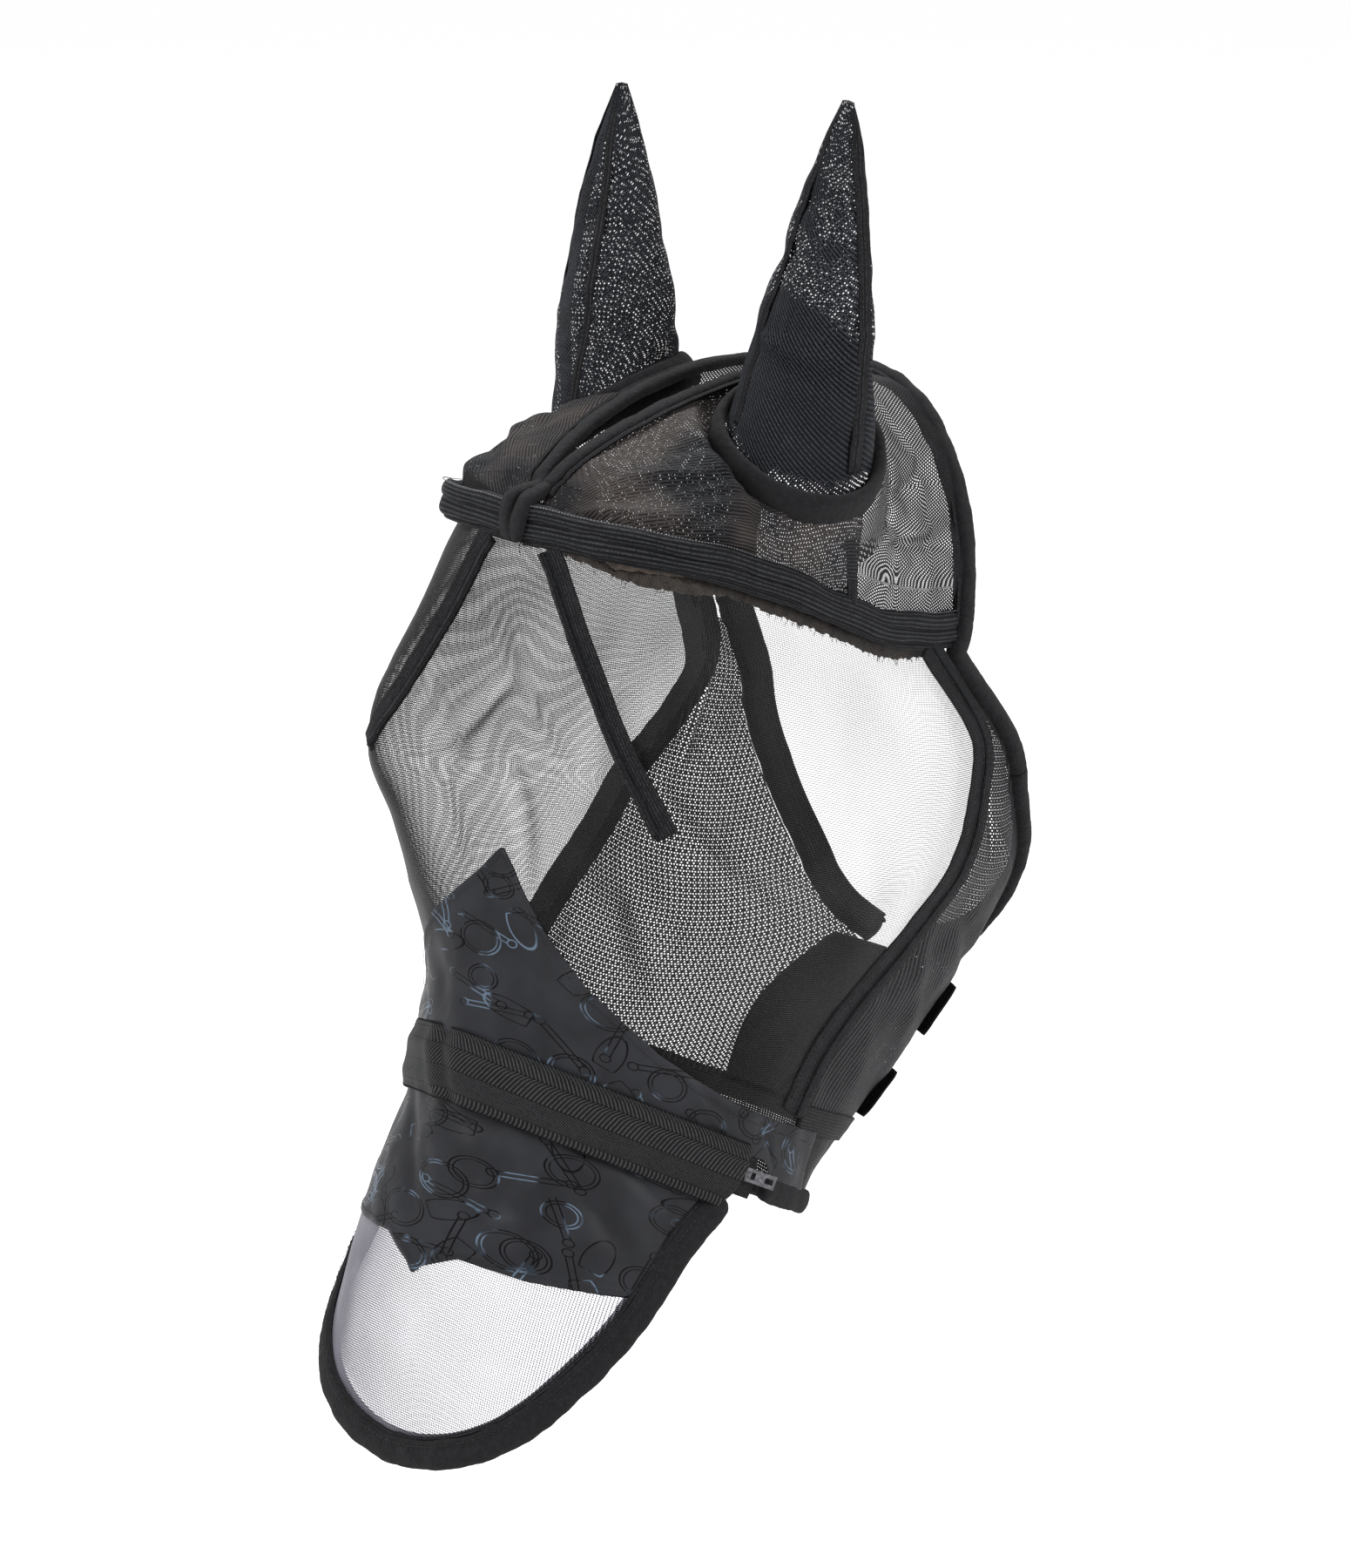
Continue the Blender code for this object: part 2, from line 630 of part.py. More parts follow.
def box_mesh(name, size, centre, bevel=0.0):
    bm = bmesh.new()
    bmesh.ops.create_cube(bm, size=1.0)
    bmesh.ops.scale(bm, vec=Vector(size) * MM, verts=bm.verts)
    bmesh.ops.translate(bm, vec=Vector(centre) * MM, verts=bm.verts)
    if bevel:
        bmesh.ops.bevel(bm, geom=list(bm.edges), offset=bevel * MM, segments=1,
                        affect="EDGES")
    return to_mesh(name, bm)


def build_slider():
    """Slider plate with a pierced bridge, and the pull that hangs in it."""
    on_zip = skin(ZIP_STATION, SLIDER_AT)
    # the slider runs along the chord of the zip line over its side stretch
    along = unit(on_zip - skin(ZIP_STATION, 70.0))
    outward = square_to(skin_normal(ZIP_STATION, SLIDER_AT), along)
    across = np.cross(outward, along)
    turn = Matrix((along, across, outward)).transposed().to_4x4()

    def place(ob, height):
        ob.matrix_world = Matrix.Translation(in_scene(on_zip + outward * height)) @ turn
        return ob

    def helper(name, height, size, centre, bevel=0.0):
        mesh = box_mesh(name, size, centre, bevel)
        return place(bpy.data.objects.new(name, mesh), height)

    # sizes and centres run along the zip, across it, and outward
    plate_mesh = box_mesh("zip_slider", size=(9.0, 8.0, 1.2), centre=(0, 0, 2.4), bevel=0.4)
    plate = place(add_part("zip_slider", plate_mesh, METAL), 0.0)
    bridge = helper("slider_bridge", 0.0, size=(5.0, 2.2, 3.4),
                    centre=(0, 0, PIVOT_HEIGHT), bevel=0.4)
    boolean(plate, bridge, name="bridge", operation="UNION")
    boolean(plate, helper("slider_hole", 0.0, size=(2.2, 8.0, 1.7),
                          centre=(0, 0, PIVOT_HEIGHT)))

    # the pull is a flat tab with an eye round the bridge and a slot at its far end
    tab_mesh = box_mesh("zip_pull", size=(20.5, 8.0, 1.1), centre=(9.7, 0, 0), bevel=0.25)
    tab = place(add_part("zip_pull", tab_mesh, METAL), PIVOT_HEIGHT)
    boolean(tab, helper("pull_eye", PIVOT_HEIGHT, size=(5.4, 4.2, 8.0), centre=(3.25, 0, 0)))
    boolean(tab, helper("pull_slot", PIVOT_HEIGHT, size=(5.5, 3.2, 8.0), centre=(15.4, 0, 0)))


# ------------------------------------------------------------------ nose piece
NOSE_TOP = ZIP_STATION + 12.0
NOSE_INSET = 0.6                                # trim inside the free edge, degrees
NOSE_SIDE = lookup(NOSE_TRIM_LOW, 69.0)         # station of the trim's low edge at the side


def build_nose_trim():
    rows = []
    for down in np.linspace(0, 1, 5):
        # the lateral extent is found by walking to the free edge at this row's height
        end = 80.0
        for _ in range(12):
            low = lookup(NOSE_TRIM_LOW, end) - 1.0
            end = lookup(NOSE_EDGE, NOSE_TOP + down * (low - NOSE_TOP)) - NOSE_INSET
        row = []
        for deg in np.linspace(-1, 1, 21) * end:
            low = lookup(NOSE_TRIM_LOW, abs(deg)) - 1.0
            row.append(skin(NOSE_TOP + down * (low - NOSE_TOP), deg))
        rows.append(row)
    sheet("nose_trim", rows, FABRIC, SOFTSHELL)


def build_nose_mesh():
    """Mesh in columns from the nose trim's lower edge to the free edge."""
    last = len(NOSE_EDGE) - 1.0
    first = next(i for i, place in enumerate(NOSE_EDGE) if place[0] > NOSE_SIDE + 4)
    side_end = lookup(NOSE_EDGE, NOSE_SIDE + 3) - NOSE_INSET
    rows = []
    for t in np.linspace(-1, 1, 21):
        deg = t * side_end
        start = np.array([lookup(NOSE_TRIM_LOW, abs(deg)) + 1.2, deg])
        edge = point_at(NOSE_EDGE, last - (last - first) * abs(t))
        end = np.array([edge[0] - 0.8, math.copysign(max(edge[1] - 0.5, 0.0), t)])
        rows.append([skin(*(start + (end - start) * k)) for k in np.linspace(0, 1, 5)])
    sheet("nose_mesh", rows, FABRIC, FINE_MESH)


def beside_nose_edge(k, sign, gap):
    """Point one gap outside the nose piece's free edge, at point k of the edge."""
    def edge_skin(i):
        return skin(NOSE_EDGE[i][0], sign * NOSE_EDGE[i][1])

    point = edge_skin(k)
    if k == len(NOSE_EDGE) - 1:
        along = np.array([-1.0, 0, 0])
    else:
        along = unit(edge_skin(k + 1) - edge_skin(k - 1))
    station, deg = NOSE_EDGE[k]
    outward = np.cross(skin_normal(station, sign * deg), along)
    if np.dot(outward, skin(400, 0) - point) > 0:
        outward = -outward
    return point + outward * gap


def build_nose_binding():
    """Fleece roll round the free edge, from the left side to the right."""
    last = len(NOSE_EDGE) - 1
    gap = FLEECE_R + 1.0
    points = [beside_nose_edge(k, 1, gap) for k in range(1, last + 1)]
    points += [beside_nose_edge(k, -1, gap) for k in range(last - 1, 0, -1)]
    roll("nose_binding", points, FLEECE_R, FLEECE)


# ------------------------------------------------------------------ ears
EAR_LENGTH = 187.0
EAR_LIFT = 2.0          # lowest edge above the hole's centre
# Ear, base to tip: fraction of the length, half width / half depth.
EAR_WIDTHS = [(0, 41.0), (.2, 40.5), (.45, 36.0), (.7, 26.0), (.9, 13.5), (1, 4.5)]
EAR_DEPTHS = [(0, 30.0), (.2, 27.0), (.45, 23.5), (.7, 16.5), (.9, 9.0), (1, 3.5)]
# Half sizes where the ear meets its ring: sideways, forwards, rearwards.
EAR_FOOT = (37.0, 35.5, 31.0)


def build_ear(side, sign):
    base, normal = ear_base(sign)
    tip = np.array([87.0 * sign, 178.0, 215.0])
    up = unit(tip - base)
    lateral = square_to(np.array([1.0 * sign, 0, 0]), up)
    forward = square_to(np.array([0, -1.0, 0]), up, lateral)
    # the same directions in the plane of the ear hole
    foot_lateral = square_to(lateral, normal)
    foot_forward = np.cross(foot_lateral, normal) * sign

    def ear(t, deg, grow=0.0):
        """Ear surface: t from base to tip, deg round from the front fold."""
        cos, sin = math.cos(math.radians(deg)), math.sin(math.radians(deg))
        flatter_back = 1.0 - 0.22 * max(-cos, 0.0) * (1 - t)
        front_fold = 1.0 + 0.16 * max(cos, 0) ** 8 * (1 - t)
        width = lookup(EAR_WIDTHS, t) + grow
        depth = (lookup(EAR_DEPTHS, t) * flatter_back + grow) * front_fold
        foot_width = EAR_FOOT[0] + grow * 0.4
        foot_depth = (EAR_FOOT[1] if cos > 0 else EAR_FOOT[2]) + grow * 0.4
        body = lateral * (sin * width) + forward * (cos * depth)
        foot = foot_lateral * (sin * foot_width) + foot_forward * (cos * foot_depth)
        blend = smooth(t / 0.3)
        return (base + up * (EAR_LIFT + t * EAR_LENGTH)
                + foot * (1 - blend) + body * blend)

    for part, start, end, columns in (("back", 93, 267, 8), ("front", -87, 87, 9)):
        rows = [[ear(t, deg) for deg in np.linspace(start + 8 * t, end - 8 * t, columns)]
                for t in np.linspace(0, 1, 8)]
        sheet("ear_%s_%s" % (part, side), rows, 1.4, KNIT)
    seam = [ear(t, 0, grow=4.4) for t in np.linspace(0.09, 0.97, 9)]
    roll("ear_seam_" + side, seam, 1.4, TAPE)


# ------------------------------------------------------------------ throat closures
# Name, top and bottom stations, x of the strap's free end.
CLOSURES = (("upper", 207.0, 228.0, 48.0), ("lower", 241.0, 262.0, 54.0))


def jaw(station, x, height):
    """Point under the jaw at a station, x mm to the left, standing off the skin."""
    low, high = 110.0, 180.0
    for _ in range(40):
        middle = 0.5 * (low + high)
        if skin(station, middle)[0] > abs(x):
            low = middle
        else:
            high = middle
    return sided(proud(station, 0.5 * (low + high), height), 1 if x >= 0 else -1)


def build_closure(name, top, bottom, strap_end):
    """A strap from the right flap, closing on a loop patch on the left flap."""
    strap_stations = np.linspace(top, bottom, 3)
    tape_stations = np.linspace(top + 1, bottom - 1, 3)
    # the patch's outer end, up the side of the jaw, stands off the mesh
    loops = [(x, 2.0 + 3.5 * smooth((x - 62.0) / 26.0)) for x in np.linspace(8.0, 88.0, 12)]
    hooks = [(x, 5.6) for x in np.linspace(8.0, strap_end - 4.0, 6)]
    strap = [(x, 7.8) for x in np.linspace(-34.0, strap_end, 10)]
    for part, stations, run, thickness, mat in (
            ("loop_tape_", tape_stations, loops, 1.2, HOOK),
            ("hook_tape_", tape_stations, hooks, 1.2, HOOK),
            ("strap_", strap_stations, strap, 1.5, WEBBING)):
        rows = [[jaw(station, x, height) for x, height in run] for station in stations]
        sheet(part + name, rows, thickness, mat)


# ------------------------------------------------------------------ assembly
build_face_mesh()
build_brow_lining()
build_poll_binding()
build_lower_trim()
build_chin()
build_zip()
build_zip_cover()
build_slider()
build_nose_trim()
build_nose_mesh()
build_nose_binding()
for side_name, side_sign in SIDES:
    for build in (build_dart_tape, build_cheek_tape, build_jowl, build_neck_binding,
                  build_brow_band, build_crown_panels, build_forelock_binding,
                  build_ear_ring, build_zip_stop, build_ear):
        build(side_name, side_sign)
for closure in CLOSURES:
    build_closure(*closure)
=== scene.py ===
# Looks of a horse's fly mask: net, knit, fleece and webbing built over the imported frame.
# Shapes are worked out in millimetres from the brow centre: +x is the left side, +y runs
# back over the crown to the poll, -z runs down the face.  Cloth.make moves them to the
# frame's metres.  Most places on the head are a station (mm down the face line) and an
# angle (degrees round from the face line, 180 under the jaw).
import bpy
import bmesh
import functools
import math
import numpy as np
from mathutils import Vector, Matrix


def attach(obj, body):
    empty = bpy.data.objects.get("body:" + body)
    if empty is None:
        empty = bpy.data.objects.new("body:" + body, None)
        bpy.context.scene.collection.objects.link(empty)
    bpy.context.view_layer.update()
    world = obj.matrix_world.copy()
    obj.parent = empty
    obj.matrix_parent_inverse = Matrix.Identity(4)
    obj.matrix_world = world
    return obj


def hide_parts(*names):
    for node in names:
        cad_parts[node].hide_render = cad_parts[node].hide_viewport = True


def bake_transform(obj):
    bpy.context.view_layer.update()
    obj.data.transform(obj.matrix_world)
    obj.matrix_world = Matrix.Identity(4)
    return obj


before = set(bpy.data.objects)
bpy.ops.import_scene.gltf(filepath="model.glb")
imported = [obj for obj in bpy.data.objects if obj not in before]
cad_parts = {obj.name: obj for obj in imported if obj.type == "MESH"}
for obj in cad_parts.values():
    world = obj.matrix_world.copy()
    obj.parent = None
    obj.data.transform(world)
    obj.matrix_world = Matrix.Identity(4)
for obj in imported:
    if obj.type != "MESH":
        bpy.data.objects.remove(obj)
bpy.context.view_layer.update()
from types import SimpleNamespace

MM = 0.001
UP = np.array([0.0, 0.0, 1.0])
SIDES = (("left", 1.0), ("right", -1.0))
MASK, NOSE = "mask_body", "nose_piece"

# ------------------------------------------------------------------ dimensions (mm, degrees)
ORIGIN = np.array([0.0, 287.5, 23.5])    # poll seat, the frame's origin
ZIP_STATION = 300.0                      # the zip line across the nose
ZIP_END = 88.5                           # half the zip's run, degrees
COVER_GAP = 7.0                          # cover webbing proud of the zip line
COVER_TOP = 279.5                        # station of the cover's top edge at the face line
COVER_WIDTH = 39.0
TRIM_END = 110.0                         # where the printed trim stops, degrees
EAR_LENGTH = 187.0
CROWN_SEAM = 160.0                       # y of the seam between the crown panels
CROWN_HEM = 12.0                         # crown cloth stops this far above the brow line
FLAP_TOP = 78.0                          # station where the throat flap leaves the neck edge
NOSE_TOP = ZIP_STATION + 9.0             # top of the nose piece's cloth

# Down the face: station, y and z of the face line, tilt of the section in degrees,
# half width, front depth, full depth, exponents of the front and rear halves.
STATIONS = [
    (-30.0, 3.0, 30.0, 23.0, 88.0, 150.0, 400.0, 2.6, 2.6),
    (0.0, 0.0, 0.0, 22.0, 94.0, 150.0, 385.0, 2.9, 2.6),
    (60.0, -5.0, -60.0, 20.0, 114.0, 156.0, 440.0, 4.8, 2.5),
    (100.0, -9.0, -100.0, 19.0, 125.0, 148.0, 425.0, 6.4, 2.5),
    (150.0, -14.0, -150.0, 18.0, 134.0, 138.0, 405.0, 7.0, 2.5),
    (184.0, -19.0, -184.0, 19.0, 128.0, 136.0, 390.0, 4.2, 2.4),
    (240.0, -34.0, -240.0, 25.0, 118.0, 130.0, 330.0, 2.0, 2.3),
    (285.0, -47.5, -285.0, 30.0, 119.0, 130.0, 267.0, 1.6, 2.2),
    (306.0, -54.0, -306.0, 31.0, 120.0, 130.0, 250.0, 1.5, 2.2),
    (345.0, -69.0, -342.0, 32.0, 115.0, 121.0, 234.0, 1.65, 2.2),
    (424.0, -98.0, -418.0, 33.0, 108.0, 110.0, 220.0, 2.1, 2.2),
    (490.0, -113.0, -482.0, 33.0, 104.0, 101.0, 200.0, 2.4, 2.2),
    (560.0, -121.0, -552.0, 33.0, 99.0, 94.0, 190.0, 2.6, 2.2),
]
# Crown, front to rear: y, height of the centre line, half width at the brow line,
# height of the brow line, exponent of the section.
CROWN = [
    (2.0, 4.0, 30.0, 0.0, 2.3),
    (10.0, 13.0, 60.0, 2.0, 2.3),
    (25.0, 27.0, 74.0, -5.0, 2.4),
    (55.0, 40.0, 85.0, -17.0, 2.6),
    (90.0, 49.0, 91.0, -34.0, 2.9),
    (125.0, 54.0, 96.0, -51.0, 3.0),
    (160.0, 56.0, 96.0, -69.0, 3.0),
    (200.0, 54.0, 93.0, -87.0, 2.7),
    (240.0, 47.0, 89.0, -100.0, 2.4),
    (285.0, 36.0, 84.0, -108.0, 2.3),
    (300.0, 31.0, 82.0, -110.0, 2.3),
]
# Half width of the forelock opening: y, half width.
SLIT = [(26, 4.6), (45, 7.5), (80, 12.0), (130, 15.0), (180, 15.0), (222, 10.0), (240, 5.2)]
# Ear section: share of the ear's length, half width, half depth.
EAR_SECTIONS = [(0, 42.0, 31.0), (0.2, 40.5, 27.0), (0.36, 37.0, 24.0), (0.65, 25.5, 16.0),
                (0.9, 10.5, 7.0), (1, 3.6, 2.4)]
# Dart seam on the forehead: station, angle.
DART = [(4, 8.5), (12, 10.5), (25, 13.0), (52, 18.0), (79, 24.0), (105, 30.5), (125, 36.0),
        (143, 40.5)]
# Upper edge of the printed trim: angle, station.
TRIM_TOP = [(0, 176), (7, 194), (15, 212), (23, 226), (30, 238), (40, 249), (51, 259),
            (63, 265), (76, 270), (92, 272), (180, 273)]
# Lower edge of the nose trim: angle, station.
NOSE_TRIM_LOW = [(0, 415), (3, 409), (14, 398), (34, 396), (57, 388), (75, 380)]
# Ends of the left throat flap's fold line.
HINGE_TOP = np.array([112.4, 259.7, -172.4])
HINGE_LOW = np.array([117.3, 93.5, -334.9])


# ------------------------------------------------------------------ curves
def unit(vectors):
    return vectors / np.maximum(np.linalg.norm(vectors, axis=-1, keepdims=True), 1e-9)


def square_to(vector, *axes):
    """Unit vector along the part of vector square to the given axes."""
    return unit(vector - sum(axis * np.dot(vector, axis) for axis in axes))


def mirror(sign):
    return np.array([sign, 1.0, 1.0])


def smooth(t):
    t = np.clip(t, 0, 1)
    return t * t * (3 - 2 * t)


def lookup(table, x, key=0, value=1):
    rows = np.asarray(table, float)
    return float(np.interp(x, rows[:, key], rows[:, value]))


def spline(table, x):
    """Smooth interpolation of a table of rows by its first column."""
    last = len(table) - 1
    i = 0
    while i < last - 1 and x > table[i + 1][0]:
        i += 1

    def slope(low, high):
        rise = np.array(table[high][1:], float) - np.array(table[low][1:], float)
        return rise / (table[high][0] - table[low][0])

    start, end = np.array(table[i][1:], float), np.array(table[i + 1][1:], float)
    span = table[i + 1][0] - table[i][0]
    t = min(max((x - table[i][0]) / span, 0.0), 1.0)
    t2, t3 = t * t, t * t * t
    return (2 * t3 - 3 * t2 + 1) * start + (t3 - 2 * t2 + t) * span * slope(max(i - 1, 0), i + 1) \
        + (-2 * t3 + 3 * t2) * end + (t3 - t2) * span * slope(i, min(i + 2, last))


def distances(points):
    """Distance run at each point of a line."""
    return np.r_[0, np.cumsum(np.linalg.norm(np.diff(points, axis=0), axis=1))]


def resample(points, count):
    """A smooth run of count rows through the given ones, evenly spaced."""
    points = np.array(points, float)
    run_at = distances(points)
    rows = np.column_stack([run_at, points])
    fine = np.array([spline(rows, t) for t in np.linspace(0, run_at[-1], 160)])
    run_at = distances(fine)
    t = np.linspace(0, run_at[-1], count)
    return np.stack([np.interp(t, run_at, column) for column in fine.T], -1)


def dense(rows, step):
    """A smooth run through rows about step mm apart; columns after x, y, z are carried along."""
    rows = np.array(rows, float)
    run_at = distances(rows[:, :3])
    count = max(int(round(run_at[-1] / step)), 4)
    table = np.column_stack([run_at, rows])
    return np.array([spline(table, t) for t in np.linspace(0, run_at[-1], count + 1)])


def even_run(step, points, *directions):
    """Dense points about step mm apart, and unit directions carried along them."""
    rows = dense(np.hstack([points, *directions]), step)
    return [rows[:, :3]] + [unit(rows[:, k:k + 3]) for k in range(3, rows.shape[1], 3)]


def shifted(points, normals, shift):
    """A run moved sideways over the cloth."""
    return points + np.cross(normals, unit(np.gradient(points, axis=0))) * shift


# ------------------------------------------------------------------ head and crown surfaces
def face_line(station):
    """y and z of the face line, and the section's tilt in radians."""
    y, z, tilt = spline(STATIONS, station)[:3]
    return y, z, math.radians(tilt)


def skin(station, angle):
    """Point of the head surface."""
    y, z, tilt, half_width, front, depth, front_power, rear_power = spline(STATIONS, station)
    ahead, aside = math.cos(math.radians(angle)), math.sin(math.radians(angle))
    reach = front if ahead > 0 else depth - front
    power = front_power if ahead > 0 else rear_power
    radius = (abs(ahead / reach) ** power + abs(aside / half_width) ** power) ** (-1.0 / power)
    inward = front - radius * ahead
    tilt = math.radians(tilt)
    return np.array([radius * aside, y + inward * math.cos(tilt), z - inward * math.sin(tilt)])


def skin_normal(station, angle):
    across = skin(station, angle + 0.5) - skin(station, angle - 0.5)
    down = skin(station + 0.5, angle) - skin(station - 0.5, angle)
    normal = np.cross(down, across)
    normal = normal / np.linalg.norm(normal)
    y, z, tilt = face_line(station)
    front = spline(STATIONS, station)[4]
    middle = np.array([0.0, y + front * math.cos(tilt), z - front * math.sin(tilt)])
    return -normal if np.dot(normal, skin(station, angle) - middle) < 0 else normal


def off(station, angle, lift):
    """Point standing lift mm off the head surface."""
    return skin(station, angle) + skin_normal(station, angle) * lift


def locate(x, y, z):
    """Station and angle of the surface point nearest a place."""
    low, high = STATIONS[0][0], STATIONS[-1][0]
    for _ in range(48):
        station = 0.5 * (low + high)
        face_y, face_z, tilt = face_line(station)
        if -(y - face_y) * math.sin(tilt) - (z - face_z) * math.cos(tilt) > 0:
            low = station
        else:
            high = station
    inward = (y - face_y) * math.cos(tilt) - (z - face_z) * math.sin(tilt)
    front = spline(STATIONS, station)[4]
    return station, math.degrees(math.atan2(x, front - inward))


def run(path, lift, step, sign=1.0):
    """Dense points and normals over the skin along a path of (station, angle)."""
    path = resample(path, max(len(path) * 4, 40))
    return even_run(step, [off(station, sign * angle, lift) for station, angle in path],
                    [skin_normal(station, sign * angle) for station, angle in path])


def crown(y, angle):
    """Point of the crown at distance y behind the brow, angle degrees down from the top."""
    top, half_width, brow, power = spline(CROWN, y)
    rise, aside = abs(math.cos(math.radians(angle))), abs(math.sin(math.radians(angle)))
    radius = ((rise / (top - brow)) ** power + (aside / half_width) ** power) ** (-1.0 / power)
    return np.array([math.copysign(radius * aside, angle), y, brow + radius * rise])


def crown_normal(y, angle):
    back = crown(y + 0.5, angle) - crown(y - 0.5, angle)
    down = crown(y, angle + 0.5) - crown(y, angle - 0.5)
    normal = np.cross(down, back)
    normal = normal / np.linalg.norm(normal)
    outward_part = normal[2] if abs(angle) < 60 else normal[0] * math.copysign(1, angle)
    return -normal if outward_part < 0 else normal


def crown_off(y, angle, lift):
    return crown(y, angle) + crown_normal(y, angle) * lift


def rear_y(y, angle):
    """The crown's rear edge swings forward towards the sides."""
    return y - 8.0 * smooth((y - 180.0) / 100.0) * (abs(angle) / 86.0) ** 2


def crown_hem_angle(half_width):
    return 90.0 - math.degrees(math.atan2(CROWN_HEM, half_width))


def slit_angle(y, extra):
    """Angle of the forelock opening's edge, extra mm further out."""
    top, _, brow, _ = spline(CROWN, y)
    half = lookup(SLIT, y) if 20 < y < 246 else 2.2
    return math.degrees(math.atan2(half + extra, top - brow))


# ------------------------------------------------------------------ seam lines
# Brow seam on the left side: x, y, z.
BROW = resample([(0, 0, 0), (30, 2, 1), (60, 8, -1), (80, 32, -9), (88, 60, -20),
                 (95, 118, -47), (95, 160, -69), (93, 198, -88), (88, 240, -101),
                 (84, 268, -107)], 24)
# Cheek seam, neck edge and the nose piece's free edge: station, angle.
CHEEK = resample([(14, 141.5), (35, 142.5), (64, 142.5), (97, 140.0), (130, 136), (157, 131.3),
                  (181, 126.5), (199, 121.5), (214, 116.5), (235, 110.5), (253, 106),
                  (268, 102.5)], 22)
NECK = resample([(10, 148), (35, 149), (60, 150), (88, 151.5), (124, 154.5), (157, 158.5),
                 (181, 163.5), (195, 169), (203, 178)], 22)
NOSE_EDGE = resample([(313, 77.5), (330, 75.0), (350, 72), (375, 68.5), (400, 64.2), (423, 58.0),
                      (446, 51.0), (468, 43), (487, 33.5), (500, 23), (508, 11.5), (511, 0)], 61)
BROW_PLACES = np.array([locate(*point) for point in BROW])


def top_station(angle):
    return lookup(BROW_PLACES, abs(angle), key=1, value=0)


def trim_station(angle):
    return lookup(TRIM_TOP, abs(angle))


def nose_trim_station(angle):
    return lookup(NOSE_TRIM_LOW, abs(angle))


# ------------------------------------------------------------------ noise and folds
def lattice(cells, seed):
    """A fixed random value in -1..1 for each whole-number cell."""
    mixed = (cells * np.array([374761393, 668265263, 1274126177])).sum(-1)
    mixed = (mixed + seed * 362437) & 0xFFFFFFFF
    mixed = ((mixed ^ (mixed >> 13)) * 1274126177) & 0xFFFFFFFF
    mixed = (mixed ^ (mixed >> 16)) & 0xFFFFFFFF
    return mixed.astype(float) / 2147483648.0 - 1.0


def noise(points, size, seed):
    """Value noise in -1..1 at points, with features about size mm across."""
    places = np.asarray(points, float) / size
    cells = np.floor(places).astype(np.int64)
    part = places - cells
    part = part * part * (3 - 2 * part)
    total = np.zeros(places.shape[:-1])
    for corner in np.ndindex(2, 2, 2):
        weight = np.prod(np.where(corner, part, 1 - part), axis=-1)
        total += weight * lattice(cells + corner, seed)
    return total


def slack(points, *waves):
    """Sum of noises, each given as (height, size, seed)."""
    return sum(height * noise(points, size, seed) for height, size, seed in waves)


def bell(x, width):
    return np.exp(-(x / width) ** 2)


def folds(across, down, table, width_scale=1.0, height_scale=1.0):
    """Soft folds along segments: from across, down; to across, down; width, height."""
    total = 0.0
    for across0, down0, across1, down1, width, height in table:
        run_a, run_d = across1 - across0, down1 - down0
        t = ((across - across0) * run_a + (down - down0) * run_d) / (run_a ** 2 + run_d ** 2)
        inside = np.clip(t, 0, 1)
        gap = np.hypot(across - across0 - inside * run_a, down - down0 - inside * run_d)
        total = total + height * height_scale * bell(gap, width * width_scale) \
            * np.sin(np.pi * inside) ** 0.6
    return total


# ------------------------------------------------------------------ mesh building
def grid_normals(points, inside):
    """Normals of a grid of points, all on the side away from the point inside."""
    normals = unit(np.cross(np.gradient(points, axis=0), np.gradient(points, axis=1)))
    if np.mean(np.sum(normals * (points - np.asarray(inside, float)), -1)) < 0:
        normals = -normals
    return normals


def raised(points, inside, height):
    return points + grid_normals(points, inside) * height[..., None]


def arc_uv(points, wrap=False):
    """Cloth coordinates in mm: along each row from its middle, and down each column."""
    if wrap:
        points = np.concatenate([points, points[:, :1]], 1)
    rows, columns = points.shape[:2]
    u = np.concatenate([np.zeros((rows, 1)),
                        np.cumsum(np.linalg.norm(np.diff(points, axis=1), axis=-1), 1)], 1)
    v = np.concatenate([np.zeros((1, columns)),
                        np.cumsum(np.linalg.norm(np.diff(points, axis=0), axis=-1), 0)], 0)
    return np.stack([u - u[:, columns // 2][:, None], v], -1)


def frames(points, normals, loop=False):
    """Side and up directions at each point of a run."""
    if loop:
        ahead = unit(np.roll(points, -1, 0) - np.roll(points, 1, 0))
    else:
        ahead = unit(np.gradient(points, axis=0))
    up = unit(normals - ahead * np.sum(normals * ahead, -1, keepdims=True))
    return np.cross(up, ahead), up


